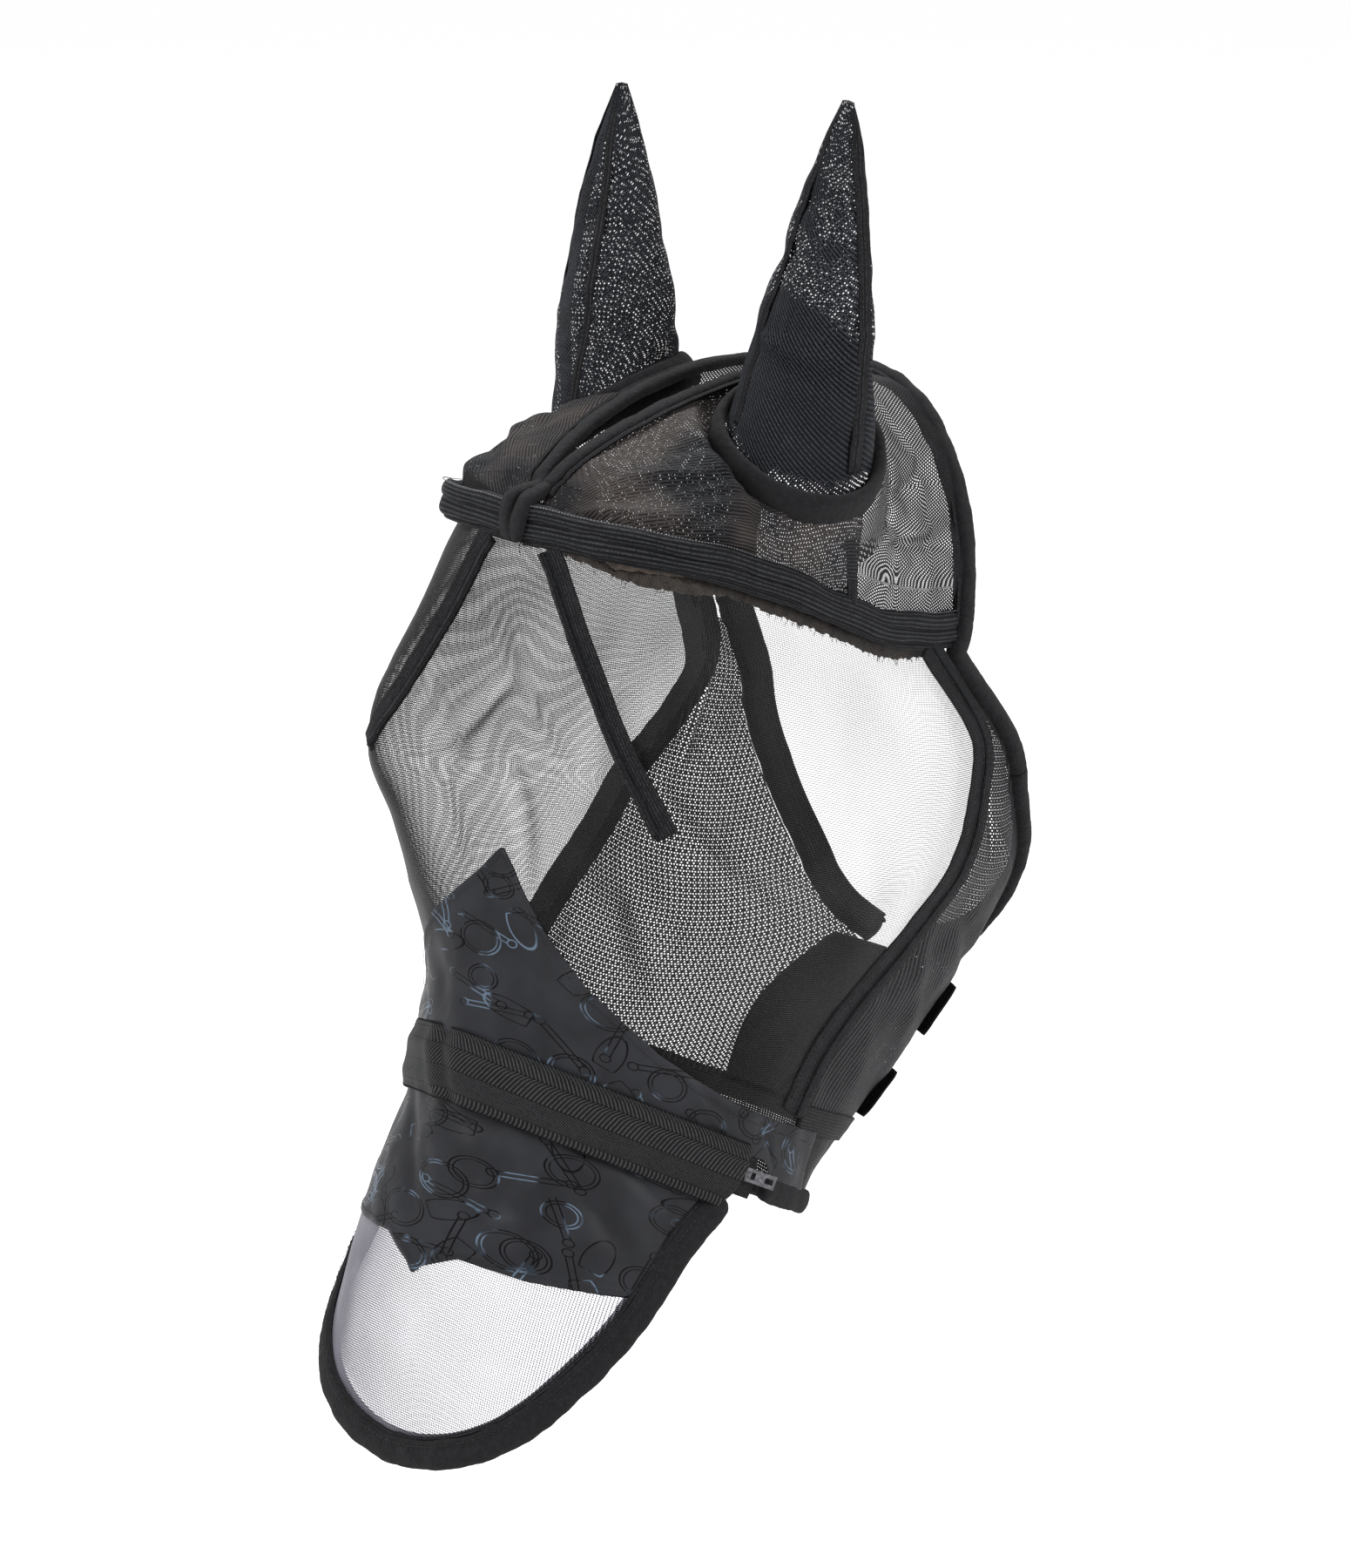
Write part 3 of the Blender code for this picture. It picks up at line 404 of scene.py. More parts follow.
class Cloth:
    """Collects grids, sweeps and stitches, then makes one object of them."""

    def __init__(self):
        self.verts, self.faces, self.uvs, self.count, self.closed = [], [], [], 0, False

    def grid(self, points, uv=None, wrap=False, loop=False, caps=False):
        """wrap joins the last column to the first, loop the last row to the first."""
        points = np.asarray(points, float)
        rows, cols = points.shape[:2]
        if uv is None:
            uv = arc_uv(points, wrap)
        i, j = np.meshgrid(np.arange(rows if loop else rows - 1),
                           np.arange(cols if wrap else cols - 1), indexing="ij")
        i_next, j_next = (i + 1) % rows, (j + 1) % cols
        quads = np.stack([i * cols + j, i * cols + j_next, i_next * cols + j_next,
                          i_next * cols + j], -1).reshape(-1, 4)
        base = self.count
        self.faces += (quads + base).tolist()
        self.uvs.append(np.stack([uv[i, j], uv[i, j + 1], uv[i + 1, j + 1], uv[i + 1, j]],
                                 -2).reshape(-1, 2))
        self.verts.append(points.reshape(-1, 3))
        self.count += rows * cols
        self.closed = self.closed or caps or loop
        if caps:
            for row in (0, rows - 1):
                self.verts.append(points[row].mean(0)[None])
                centre = self.count
                self.count += 1
                for k in range(cols):
                    a, b = base + row * cols + k, base + row * cols + (k + 1) % cols
                    self.faces.append([a, centre, b] if row == 0 else [a, b, centre])
                    self.uvs.append(np.array([uv[row, k], uv[row, k], uv[row, k + 1]]))
        return self

    def sweep(self, points, normals, profile, loop=False, fuzz=0.0, lump=0.0, seed=0,
              taper=0.0, scale=None):
        """Sweeps a closed profile (across, up) along points.

        fuzz and lump are noise heights in mm; taper rounds off the ends over that length.
        """
        points = np.asarray(points, float)
        side, up = frames(points, normals, loop)
        run_at = distances(points)
        size = np.ones(len(points)) if scale is None else scale
        if taper:
            end = np.clip(np.minimum(run_at, run_at[-1] - run_at) / taper, 0, 1)
            size = size * np.sqrt(np.clip(1 - (1 - end) ** 2, 0.03, 1))
        skin_points = points[:, None] \
            + side[:, None] * (profile[None, :, 0] * size[:, None])[..., None] \
            + up[:, None] * (profile[None, :, 1] * size[:, None])[..., None]
        if fuzz or lump:
            height = slack(skin_points, (lump, 9.0, seed), (fuzz * 0.6, 1.7, seed + 1),
                           (fuzz * 0.4, 3.6, seed + 2))
            skin_points = skin_points + unit(skin_points - points[:, None]) * height[..., None]
        if loop:
            run_at = np.r_[run_at, run_at[-1] + np.linalg.norm(points[0] - points[-1])]
        girth = distances(np.vstack([profile, profile[:1]]))
        uv = np.stack(np.meshgrid(run_at, girth, indexing="ij")[::-1], -1)
        return self.grid(skin_points, uv, wrap=True, loop=loop, caps=not loop)

    def stitch(self, points, normals, step, length, radius, lift):
        """Separate thread stitches, step mm apart, along a run of points."""
        # one stitch: place along it, share of the radius
        shape = [(-0.5, 0.15), (-0.36, 0.8), (0.0, 1.0), (0.36, 0.8), (0.5, 0.15)]
        sides = 6
        run_at = distances(points)

        def at(values, place):
            return np.array([np.interp(place, run_at, column) for column in values.T])

        for place in np.arange(step * 0.5, run_at[-1] - length * 0.5, step):
            centre = at(points, place)
            ahead = unit(at(points, place + 0.5) - centre)
            normal = square_to(unit(at(normals, place)), ahead)
            across = np.cross(normal, ahead)
            rings = []
            for x, share in shape:
                middle = centre + normal * (lift - abs(x) * 0.5) + ahead * x * length
                rings.append([middle + (across * math.cos(a) + normal * math.sin(a) * 0.8)
                              * radius * share
                              for a in np.linspace(0, 2 * math.pi, sides, endpoint=False)])
            self.grid(rings, np.zeros((len(shape), sides + 1, 2)), wrap=True, caps=True)
        return self

    def drop_faces(self, inside):
        """Leaves out the quads whose corners are all inside."""
        keep = [k for k, face in enumerate(self.faces) if not all(inside[a] for a in face)]
        self.uvs = [np.vstack(self.uvs).reshape(-1, 4, 2)[keep].reshape(-1, 2)]
        self.faces = [self.faces[k] for k in keep]

    def make(self, name, material, body, slot, *nodes, thickness=0.0):
        """Makes the object; it takes the place of the frame's nodes and rides on body."""
        mesh = bpy.data.meshes.new(name)
        mesh.from_pydata(((np.vstack(self.verts) - ORIGIN) * MM).tolist(), [], self.faces)
        layer = mesh.uv_layers.new(name="cloth")
        layer.data.foreach_set("uv", np.vstack(self.uvs).astype(np.float32).ravel())
        if self.closed:
            edit = bmesh.new()
            edit.from_mesh(mesh)
            bmesh.ops.recalc_face_normals(edit, faces=edit.faces)
            edit.to_mesh(mesh)
            edit.free()
        mesh.polygons.foreach_set("use_smooth", [True] * len(mesh.polygons))
        mesh.materials.append(material)
        ob = bpy.data.objects.new(name, mesh)
        bpy.context.scene.collection.objects.link(ob)
        if thickness:
            solidify = ob.modifiers.new("thickness", "SOLIDIFY")
            solidify.thickness = thickness * MM
            solidify.offset = 0.0
        if nodes:
            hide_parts(*nodes)
        if body:
            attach(ob, body)
        return ob


def outward(ob, inside):
    """Turns the faces so that they look away from a point inside the mask."""
    centre = Vector((np.array(inside, float) - ORIGIN) * MM)
    if sum((f.center - centre).normalized().dot(f.normal) * f.area for f in ob.data.polygons) < 0:
        ob.data.flip_normals()


def blend(ob, start, end):
    """Bakes the object's transform into its mesh; start and end are not used."""
    tuple((start - ORIGIN) * MM)
    tuple((end - ORIGIN) * MM)
    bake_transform(ob)


def loose_thread(cloth, points, normal, width):
    cloth.sweep(dense(points, 0.8), normal, oval(width, width, 6))


# ------------------------------------------------------------------ profiles
def oval(width, height, count, power=2.0):
    a = np.linspace(0, 2 * math.pi, count, endpoint=False)
    c, s = np.cos(a), np.sin(a)
    return np.stack([np.sign(c) * np.abs(c) ** (2 / power) * width / 2,
                     np.sign(s) * np.abs(s) ** (2 / power) * height / 2], -1)


def ribbon(width, thickness, ridge=0.0, count=9):
    """A flat tape, with an optional ridge along the middle of its top."""
    half = thickness / 2
    across = np.linspace(-width / 2, width / 2, count)
    top = [(x, half + ridge * bell(x, 0.16 * width)) for x in across]
    edge = width / 2 + thickness * 0.3
    return np.array([(-edge, 0)] + top + [(edge, 0)] + [(x, -half) for x in across[::-1]])


def fleece(width, height, count, groove=0.0):
    """A fat soft roll that thins towards one side, with an optional sewn groove."""
    outline = []
    for a in np.linspace(0, 2 * math.pi, count, endpoint=False):
        c, s = math.cos(a), math.sin(a)
        x = math.copysign(abs(c) ** 0.8, c) * width / 2
        y = math.copysign(abs(s) ** 0.85, s) * height / 2
        y *= 1.0 - 0.22 * (x / (width / 2) + 1) / 2
        if s > 0:
            y -= groove * bell(x - 0.24 * width, 0.055 * width)
        outline.append((x, y))
    return np.array(outline)


# ------------------------------------------------------------------ node expressions
class Value:
    """A value in a node tree, with arithmetic."""

    def __init__(self, tree, socket):
        self.tree, self.socket = tree, socket

    def math(self, kind, *others):
        node = self.tree.nodes.new("ShaderNodeMath")
        node.operation = kind
        for k, other in enumerate((self,) + others):
            if isinstance(other, Value):
                self.tree.links.new(other.socket, node.inputs[k])
            else:
                node.inputs[k].default_value = float(other)
        return Value(self.tree, node.outputs[0])

    def __add__(self, other):
        return self.math("ADD", other)

    def __sub__(self, other):
        return self.math("SUBTRACT", other)

    def __rsub__(self, other):
        return (self * -1.0) + other

    def __mul__(self, other):
        return self.math("MULTIPLY", other)

    def __truediv__(self, other):
        return self.math("DIVIDE", other)

    def __pow__(self, other):
        return self.math("POWER", other)

    def __abs__(self):
        return self.math("ABSOLUTE")

    def fract(self):
        return self.math("FRACT")

    def floor(self):
        return self.math("FLOOR")

    def sin(self):
        return self.math("SINE")

    def sqrt(self):
        return self.math("SQRT")

    def min(self, other):
        return self.math("MINIMUM", other)

    def max(self, other):
        return self.math("MAXIMUM", other)

    def ramp(self, zero, one):
        """0 at zero, 1 at one, smooth between; zero may be above one."""
        node = self.tree.nodes.new("ShaderNodeMapRange")
        node.interpolation_type = "SMOOTHSTEP"
        rising = zero < one
        self.tree.links.new(self.socket, node.inputs["Value"])
        node.inputs["From Min"].default_value = min(zero, one)
        node.inputs["From Max"].default_value = max(zero, one)
        node.inputs["To Min"].default_value = 0.0 if rising else 1.0
        node.inputs["To Max"].default_value = 1.0 if rising else 0.0
        return Value(self.tree, node.outputs["Result"])


def wave(x):
    """Triangle wave 1..0..1 over each whole step of a value."""
    return abs(x.fract() - 0.5) * 2.0


def reach(a, b):
    return (a * a + b * b).sqrt()


class Material:
    """A Principled material with cloth coordinates u, v in mm."""

    def __init__(self, name, rough, spec, sheen=0.0, metal=0.0, sheen_rough=0.5):
        self.material = bpy.data.materials.new(name)
        self.material.use_nodes = True
        self.tree = self.material.node_tree
        self.shader = self.tree.nodes["Principled BSDF"]
        for key, value in (("Roughness", rough), ("Specular IOR Level", spec),
                           ("Sheen Weight", sheen), ("Sheen Roughness", sheen_rough),
                           ("Metallic", metal)):
            self.shader.inputs[key].default_value = value

    def node(self, kind):
        return self.tree.nodes.new("ShaderNode" + kind)

    def link(self, source, target):
        self.tree.links.new(source.socket if isinstance(source, Value) else source, target)

    def split(self, socket, kind="SeparateXYZ"):
        node = self.node(kind)
        self.link(socket, node.inputs[0])
        return Value(self.tree, node.outputs[0]), Value(self.tree, node.outputs[1])

    @functools.cached_property
    def cloth_map(self):
        node = self.node("UVMap")
        node.uv_map = "cloth"
        return node.outputs[0]

    @functools.cached_property
    def cloth_uv(self):
        return self.split(self.cloth_map)

    @property
    def u(self):
        return self.cloth_uv[0]

    @property
    def v(self):
        return self.cloth_uv[1]

    @functools.cached_property
    def position(self):
        return self.node("TexCoord").outputs["Object"]

    def noise(self, size, detail=2.0, rough=0.5):
        """Noise about 0.5 with features size mm across, in object space."""
        mapping = self.node("Mapping")
        self.link(self.position, mapping.inputs["Vector"])
        mapping.inputs["Scale"].default_value = (1000.0 / size,) * 3
        node = self.node("TexNoise")
        node.inputs["Scale"].default_value = 1.0
        node.inputs["Detail"].default_value = detail
        node.inputs["Roughness"].default_value = rough
        self.link(mapping.outputs[0], node.inputs["Vector"])
        return Value(self.tree, node.outputs["Fac"])

    def facing(self):
        """1 where the surface faces the viewer, 0 at its edge."""
        geometry = self.node("NewGeometry")
        dot = self.node("VectorMath")
        dot.operation = "DOT_PRODUCT"
        self.link(geometry.outputs["Incoming"], dot.inputs[0])
        self.link(geometry.outputs["Normal"], dot.inputs[1])
        return abs(Value(self.tree, dot.outputs["Value"]))

    def backfacing(self):
        return Value(self.tree, self.node("NewGeometry").outputs["Backfacing"])

    def mix(self, factor, first, second):
        node = self.node("Mix")
        node.data_type = "RGBA"
        self.link(factor, node.inputs[0])
        for k, colour in ((6, first), (7, second)):
            if isinstance(colour, tuple):
                node.inputs[k].default_value = (*colour, 1.0)
            else:
                self.link(colour, node.inputs[k])
        return node.outputs[2]

    def mottle(self, colour, gain, cloud, low, high):
        """The colour, and gain times it where the cloud rises from low to high."""
        return self.mix(cloud.ramp(low, high), colour, tuple(c * gain for c in colour))

    def colour(self, socket):
        self.link(socket, self.shader.inputs["Base Color"])

    def rough(self, value):
        self.link(value, self.shader.inputs["Roughness"])

    def bump(self, height, strength):
        """Bump from a height in mm."""
        node = self.node("Bump")
        node.inputs["Strength"].default_value = strength
        node.inputs["Distance"].default_value = MM
        self.link(height, node.inputs["Height"])
        self.link(node.outputs[0], self.shader.inputs["Normal"])

    def alpha(self, value):
        """Open where value is 0."""
        mixer = self.node("MixShader")
        self.link(value, mixer.inputs[0])
        self.link(self.node("BsdfTransparent").outputs[0], mixer.inputs[1])
        self.link(self.shader.outputs[0], mixer.inputs[2])
        self.link(mixer.outputs[0], self.tree.nodes["Material Output"].inputs["Surface"])


# ------------------------------------------------------------------ materials
FULL_TURN = 6.2832
SHADOW, EDGE_SHADOW = (0.0022, 0.0022, 0.0026), (0.003, 0.003, 0.003)


def fine_mesh(name, colour, wire, gain, inner, pitch=1.25):
    """Net of two sets of wires, pitch mm apart.

    gain thickens them where the cloth turns away; inner thickens them where its inside is seen, a
    painted shade for the inside of the mask.
    """
    m = Material(name, rough=0.45, spec=0.4, sheen=0.02)
    # inner paints shade: the net seen from inside is made denser, so darker
    cover = (m.facing().max(0.12) ** -gain) * (wire / pitch) * (m.backfacing() * inner + 1.0)
    cover = cover.min(0.92)
    place_u, place_v = (m.u / pitch).fract(), (m.v / pitch).fract()

    def wires(place):
        return (abs(place - 0.5) * 2.0 - (1.0 - cover)).ramp(-0.03, 0.03)

    def swell(place):
        return (place * FULL_TURN).sin() * 0.02

    m.colour(m.mottle(colour, gain=1.5, cloud=m.noise(size=40.0), low=0.35, high=0.7))
    m.bump(swell(place_u) + swell(place_v), strength=0.5)
    m.alpha(wires(place_u).max(wires(place_v)))
    return m.material


def coarse_mesh(name, colour, hole, close, ribs=0.0, pitch=2.0):
    """Open knit with round holes of radius hole in staggered rows.

    close shrinks the holes where the cloth turns away; ribs is the pitch of cords along v.
    """
    m = Material(name, rough=0.5, spec=0.18, sheen=0.02)
    row = pitch * 1.732
    facing = m.facing().max(0.25)
    centres = [reach(((m.u / pitch + shift).fract() - 0.5) * pitch,
                     ((m.v / row + shift).fract() - 0.5) * row) for shift in (0.0, 0.5)]
    gap = centres[0].min(centres[1])
    net = (gap - facing ** close * hole).ramp(-0.06, 0.06)
    base = m.mottle(colour, gain=1.6, cloud=m.noise(size=30.0), low=0.35, high=0.7)
    if ribs:
        cord = wave(m.u / ribs)
        net = net.max(cord.ramp(0.70, 0.80))
        # painted highlight: the tops of the cords are lightened
        base = m.mix(cord.ramp(0.62, 0.95) * 0.75, base, (0.070, 0.072, 0.080))
        m.bump(cord * 0.8 + gap * 0.15, strength=0.8)
    else:
        m.bump(gap * 0.25, strength=0.8)
    m.colour(base)
    m.alpha(net)
    return m.material


def knit(name, colour, rib=2.3, course=1.15, hole=None, warm=0.0, angle=0.0, ear="",
         crest_highlight=(0.085, 0.092, 0.112)):
    """Ribbed knit: cords of small V stitches, with rows of pin-holes if hole is given.

    The crest colour is a painted highlight on the tops of the cords, warm adds brown patches, angle
    turns the ribs.
    """
    m = Material(name, rough=0.5, spec=0.16, sheen=0.02)
    turn_cos, turn_sin = math.cos(angle), math.sin(angle)
    across = m.u * turn_cos + m.v * turn_sin
    along = m.v * turn_cos - m.u * turn_sin
    cord = wave(across / rib)
    leg = ((along + wave(across / (rib * 0.5)) * (course * 0.7)) / course).fract()
    loop = wave(leg)
    m.bump(cord.ramp(0.0, 0.8) * 0.55 + loop * 0.18, strength=0.9)
    base = m.mottle(colour, gain=1.6, cloud=m.noise(size=45.0, detail=3.0), low=0.3, high=0.75)
    if warm:
        patches = m.noise(size=60.0).ramp(0.40, 0.62) * warm
        base = m.mix(patches, base, (0.085, 0.066, 0.055))
    base = m.mix((1.0 - cord).ramp(0.45, 0.95) * 0.8, base, SHADOW)
    glint = m.noise(size=0.9, detail=1.0).ramp(0.25, 0.7)
    # painted highlight: the crest colour lightens the tops of the cords
    m.colour(m.mix((cord.ramp(0.40, 0.90) * (loop * 0.5 + 0.5) * glint) * 0.85, base, crest_highlight))
    if hole is None:
        return m.material
    row = course * 1.5
    gap = reach(cord * (0.5 * rib), ((along / row).fract() - 0.5) * row)
    patchy = m.noise(size=34.0, detail=1.0).ramp(0.22, 0.42) \
        * (m.noise(size=1.7, detail=0.0).ramp(0.34, 0.50) * 0.8 + 0.2)
    if ear == "double":
        # the lower part of the ear is doubled, but for a strip of open net at its foot
        patchy = patchy * m.v.ramp(60.0, 72.0).max(m.v.ramp(20.0, 12.0) * m.v.ramp(6.0, 10.0))
    if ear:
        hole = m.backfacing() * 0.4 + hole
    m.alpha((gap - patchy * hole).ramp(-0.05, 0.05))
    return m.material


def fleece_pile(name, colour):
    m = Material(name, rough=0.95, spec=0.08, sheen=0.07, sheen_rough=0.75)
    pile = m.noise(size=1.1, detail=3.0, rough=0.65)
    tufts = m.noise(size=3.4)
    m.bump(pile * 0.9 + tufts * 0.9 + m.noise(size=0.45, detail=1.0) * 0.35, strength=0.9)
    base = m.mottle(colour, gain=1.7, cloud=tufts, low=0.3, high=0.75)
    lint = m.noise(size=0.8, detail=0.0).ramp(0.78, 0.84) * 0.35
    m.colour(m.mix(lint, base, (0.12, 0.125, 0.15)))
    return m.material


def tape(name, colour, rib, along=True, pick=0.9):
    """Grosgrain tape with close ribs along v, or across it; a painted highlight lightens the thread
    crests.
    """
    m = Material(name, rough=0.55, spec=0.14, sheen=0.02)
    x, y = (m.u, m.v) if along else (m.v, m.u)
    cord = wave(x / rib)
    weft = wave(y / pick + (x / rib).floor() * 0.5)
    m.bump(cord * 0.32 + weft * 0.1, strength=0.9)
    base = m.mottle(colour, gain=1.8, cloud=m.noise(size=12.0, detail=3.0), low=0.3, high=0.75)
    glint = m.noise(size=1.2, detail=1.0).ramp(0.3, 0.7)
    # painted highlight: the crests of the cords are lightened
    m.colour(m.mix(cord.ramp(0.5, 0.95) * (weft * 0.6 + 0.4) * glint * 0.85, base,
                   (0.088, 0.092, 0.104)))
    return m.material


def herringbone(name, colour, column=12.0, float_pitch=2.5, pick=0.8):
    """Herringbone webbing: diagonal floats that turn back at each column."""
    m = Material(name, rough=0.5, spec=0.14, sheen=0.02)
    fold = wave(m.u / (2 * column)) * column
    floats = wave((m.v * 1.0 + fold * 1.15) / float_pitch)
    edge = wave(m.u / (2 * column)).ramp(0.04, 0.0).max(
        wave(m.u / (2 * column)).ramp(0.96, 1.0))
    m.bump(floats.ramp(0.1, 0.9) * 0.5 + wave(m.u / pick) * 0.08 - edge * 0.3, strength=1.0)
    base = m.mottle(colour, gain=1.6, cloud=m.noise(size=18.0, detail=3.0), low=0.3, high=0.7)
    glint = m.noise(size=1.4, detail=1.0).ramp(0.2, 0.7) * 0.5 + 0.5
    # painted highlight: the floats are lightened to grey
    base = m.mix(floats.ramp(0.40, 0.85) * glint, base, (0.078, 0.078, 0.083))
    m.colour(m.mix(edge * 0.85, base, EDGE_SHADOW))
    return m.material


def print_cells(m, size, shift):
    """Place in mm within scattered cells, and two random values of each cell."""
    mapping = m.node("Mapping")
    m.link(m.cloth_map, mapping.inputs["Vector"])
    mapping.inputs["Scale"].default_value = (1 / size, 1 / size, 0)
    mapping.inputs["Location"].default_value = (shift, shift * 0.7, 0)
    cells = m.node("TexVoronoi")
    cells.voronoi_dimensions = "2D"
    cells.inputs["Randomness"].default_value = 0.75
    cells.inputs["Scale"].default_value = 1.0
    m.link(mapping.outputs[0], cells.inputs["Vector"])
    offset = m.node("VectorMath")
    offset.operation = "SUBTRACT"
    m.link(mapping.outputs[0], offset.inputs[0])
    m.link(cells.outputs["Position"], offset.inputs[1])
    x, y = m.split(offset.outputs[0])
    return x * size, y * size, m.split(cells.outputs["Color"], "SeparateColor")


def ring_lines(a, b, size, chance):
    """Two concentric rings of chance radius."""
    gap = reach(a, b)
    radius = chance * 3.4 + 6.4
    lines = abs(gap - radius).ramp(0.42, 0.26).max(abs(gap - (radius - 1.5)).ramp(0.34, 0.2))
    return lines * gap.ramp(size * 0.46, size * 0.44)


def bar_lines(a, b, size, chance):
    """A double bar with a small ring at each end."""
    lines = abs(abs(b) - 1.2).ramp(0.38, 0.24) * abs(a).ramp(11.2, 11.0)
    knob = abs(((abs(a) - 12.6) ** 2.0 + b * b).sqrt() - 1.9).ramp(0.36, 0.22)
    return lines.max(knob)


def oval_lines(a, b, size, chance):
    """An oval cut straight at one end."""
    oval_place = ((a / 11.0) ** 2.0 + (b / 5.0) ** 2.0).sqrt()
    lines = abs(oval_place - 1.0).ramp(0.075, 0.045) * a.ramp(-7.0, -6.8)
    return lines.max(abs(a + 6.9).ramp(0.36, 0.22) * abs(b).ramp(4.1, 3.9))


def softshell_print(name):
    """Charcoal softshell with a line drawing of rings, bars and ovals."""
    m = Material(name, rough=0.42, spec=0.2)
    line = None
    # cell size, shift of the cells, figure drawn in them
    for size, shift, figure in ((38.0, 0.0, ring_lines), (33.0, 3.3, bar_lines),
                                (35.0, 7.1, oval_lines), (39.0, 5.2, bar_lines),
                                (43.0, 9.6, ring_lines)):
        x, y, (chance, turn) = print_cells(m, size, shift)
        angle = turn * FULL_TURN
        turn_cos, turn_sin = (angle + 1.5708).sin(), angle.sin()
        lines = figure(x * turn_cos + y * turn_sin, y * turn_cos - x * turn_sin, size, chance)
        line = lines if line is None else line.max(lines)
    weave = wave(m.u / 0.55) * wave(m.v / 0.55)
    base = m.mix(m.noise(size=30.0).ramp(0.3, 0.75), (0.020, 0.0205, 0.024),
                 (0.034, 0.035, 0.041))
    base = m.mix(weave * 0.12, base, (0.055, 0.056, 0.062))
    # the lines are black ink; where a noise rises they turn steel blue, a painted highlight on the
    # glossy ink
    ink_with_painted_glint = m.mix(m.noise(size=24.0).ramp(0.53, 0.64), (0.0025, 0.0025, 0.003),
                (0.13, 0.18, 0.25))
    m.colour(m.mix(line, base, ink_with_painted_glint))
    m.rough(line * -0.2 + 0.42)
    m.bump(weave * 0.03 - line * 0.08 + m.noise(size=6.0) * 0.12, strength=0.7)
    return m.material


def plain(name, colour, rough, metal=0.0, spec=0.5):
    m = Material(name, rough=rough, spec=spec, metal=metal)
    cloud = m.noise(size=2.0, detail=3.0)
    m.colour(m.mottle(colour, gain=1.9, cloud=cloud, low=0.35, high=0.75))
    m.rough(m.noise(size=5.0, detail=3.0, rough=0.6) * 0.3 + (rough - 0.15))
    m.bump(cloud * 0.08, strength=0.4)
    return m.material


def frayed_lining(name):
    m = Material(name, rough=0.95, spec=0.1, sheen=0.4)
    fibre = m.noise(size=0.9, rough=0.7)
    base = m.mix(m.noise(size=7.0, detail=3.0).ramp(0.35, 0.7), (0.15, 0.115, 0.09),
                 (0.05, 0.04, 0.032))
    m.colour(m.mix(fibre.ramp(0.4, 0.75), base, (0.20, 0.17, 0.145)))
    m.bump(fibre * 0.8, strength=0.8)
    return m.material


M_FACE = fine_mesh("face_net", (0.022, 0.022, 0.023), wire=0.122, gain=1.4, inner=1.3)
M_NOSE = fine_mesh("nose_net", (0.17, 0.165, 0.20), wire=0.30, gain=1.2, inner=0.3)
M_COARSE = coarse_mesh("coarse_net", (0.008, 0.008, 0.0095), hole=0.70, close=0.8)
M_JOWL = coarse_mesh("jowl_net", (0.009, 0.009, 0.010), hole=0.60, close=0.9, ribs=4.0)
M_CHIN = coarse_mesh("chin_net", (0.008, 0.008, 0.009), hole=0.40, close=1.2)
M_KNIT = knit("crown_knit", (0.007, 0.0072, 0.0085), warm=0.9, hole=0.30)
M_EAR = {
    "left": knit("ear_knit", (0.009, 0.0095, 0.0125), hole=0.50, angle=1.0, ear="double"),
    "right": knit("ear_knit_right", (0.009, 0.0095, 0.0125), hole=0.46, angle=1.0, ear="open"),
}
M_BAND = knit("band_knit", (0.006, 0.0062, 0.0075), rib=2.5, crest_highlight=(0.10, 0.105, 0.118))
M_FLEECE = fleece_pile("fleece_black", (0.0085, 0.0086, 0.0100))
M_TAPE = tape("tape_black", (0.006, 0.006, 0.0067), rib=1.9)
M_WEB = tape("webbing_black", (0.0075, 0.0075, 0.0078), rib=1.3, along=False)
M_HERRINGBONE = herringbone("herringbone_black", (0.006, 0.006, 0.0062))
M_PRINT = softshell_print("trim_print")
M_COIL = plain("coil_nylon", (0.01, 0.01, 0.011), rough=0.4)
M_METAL = plain("dark_metal", (0.13, 0.13, 0.14), rough=0.32, metal=1.0)
M_HOOK = plain("touch_tape_black", (0.009, 0.009, 0.01), rough=0.9, spec=0.2)
M_LINING = frayed_lining("lining_frayed")
M_THREAD = plain("thread_black", (0.008, 0.008, 0.009), rough=0.45)
M_THREAD_GREY = plain("thread_grey", (0.16, 0.165, 0.18), rough=0.5)


# ------------------------------------------------------------------ face net
# Tables of folds: from across, down; to across, down; width, height.
FACE_FOLDS = [
    (-20, 52, 26, 126, 7.0, -5.0), (-10, 60, 38, 122, 6.0, 2.4), (-46, 146, -26, 204, 6.5, -4.2),
    (-34, 140, -14, 190, 6.0, 2.0), (-70, 112, -58, 176, 6.0, -3.0),
    (-84, 100, -74, 160, 5.0, 2.2), (-60, 92, -24, 150, 5.5, -2.2), (60, 40, 72, 96, 6.0, -2.0),
    (-8, 128, 8, 176, 6.0, -2.4), (44, 168, 74, 214, 7.0, -2.0), (110, 60, 150, 150, 10.0, -2.0),
    (190, 120, 214, 220, 9.0, 2.0), (26, 120, 44, 176, 8.0, 1.8),
    (-100, 150, -80, 214, 7.0, -2.4), (-40, 20, -52, 70, 6.0, -2.0)]
# Further folds, measured towards the right side from 150 mm out.
RIGHT_FACE_FOLDS = [(20, 96, -14, 150, 8.0, -2.5), (40, 150, 60, 215, 7.0, -2.5),
                    (90, 90, 96, 170, 9.0, -2.2)]


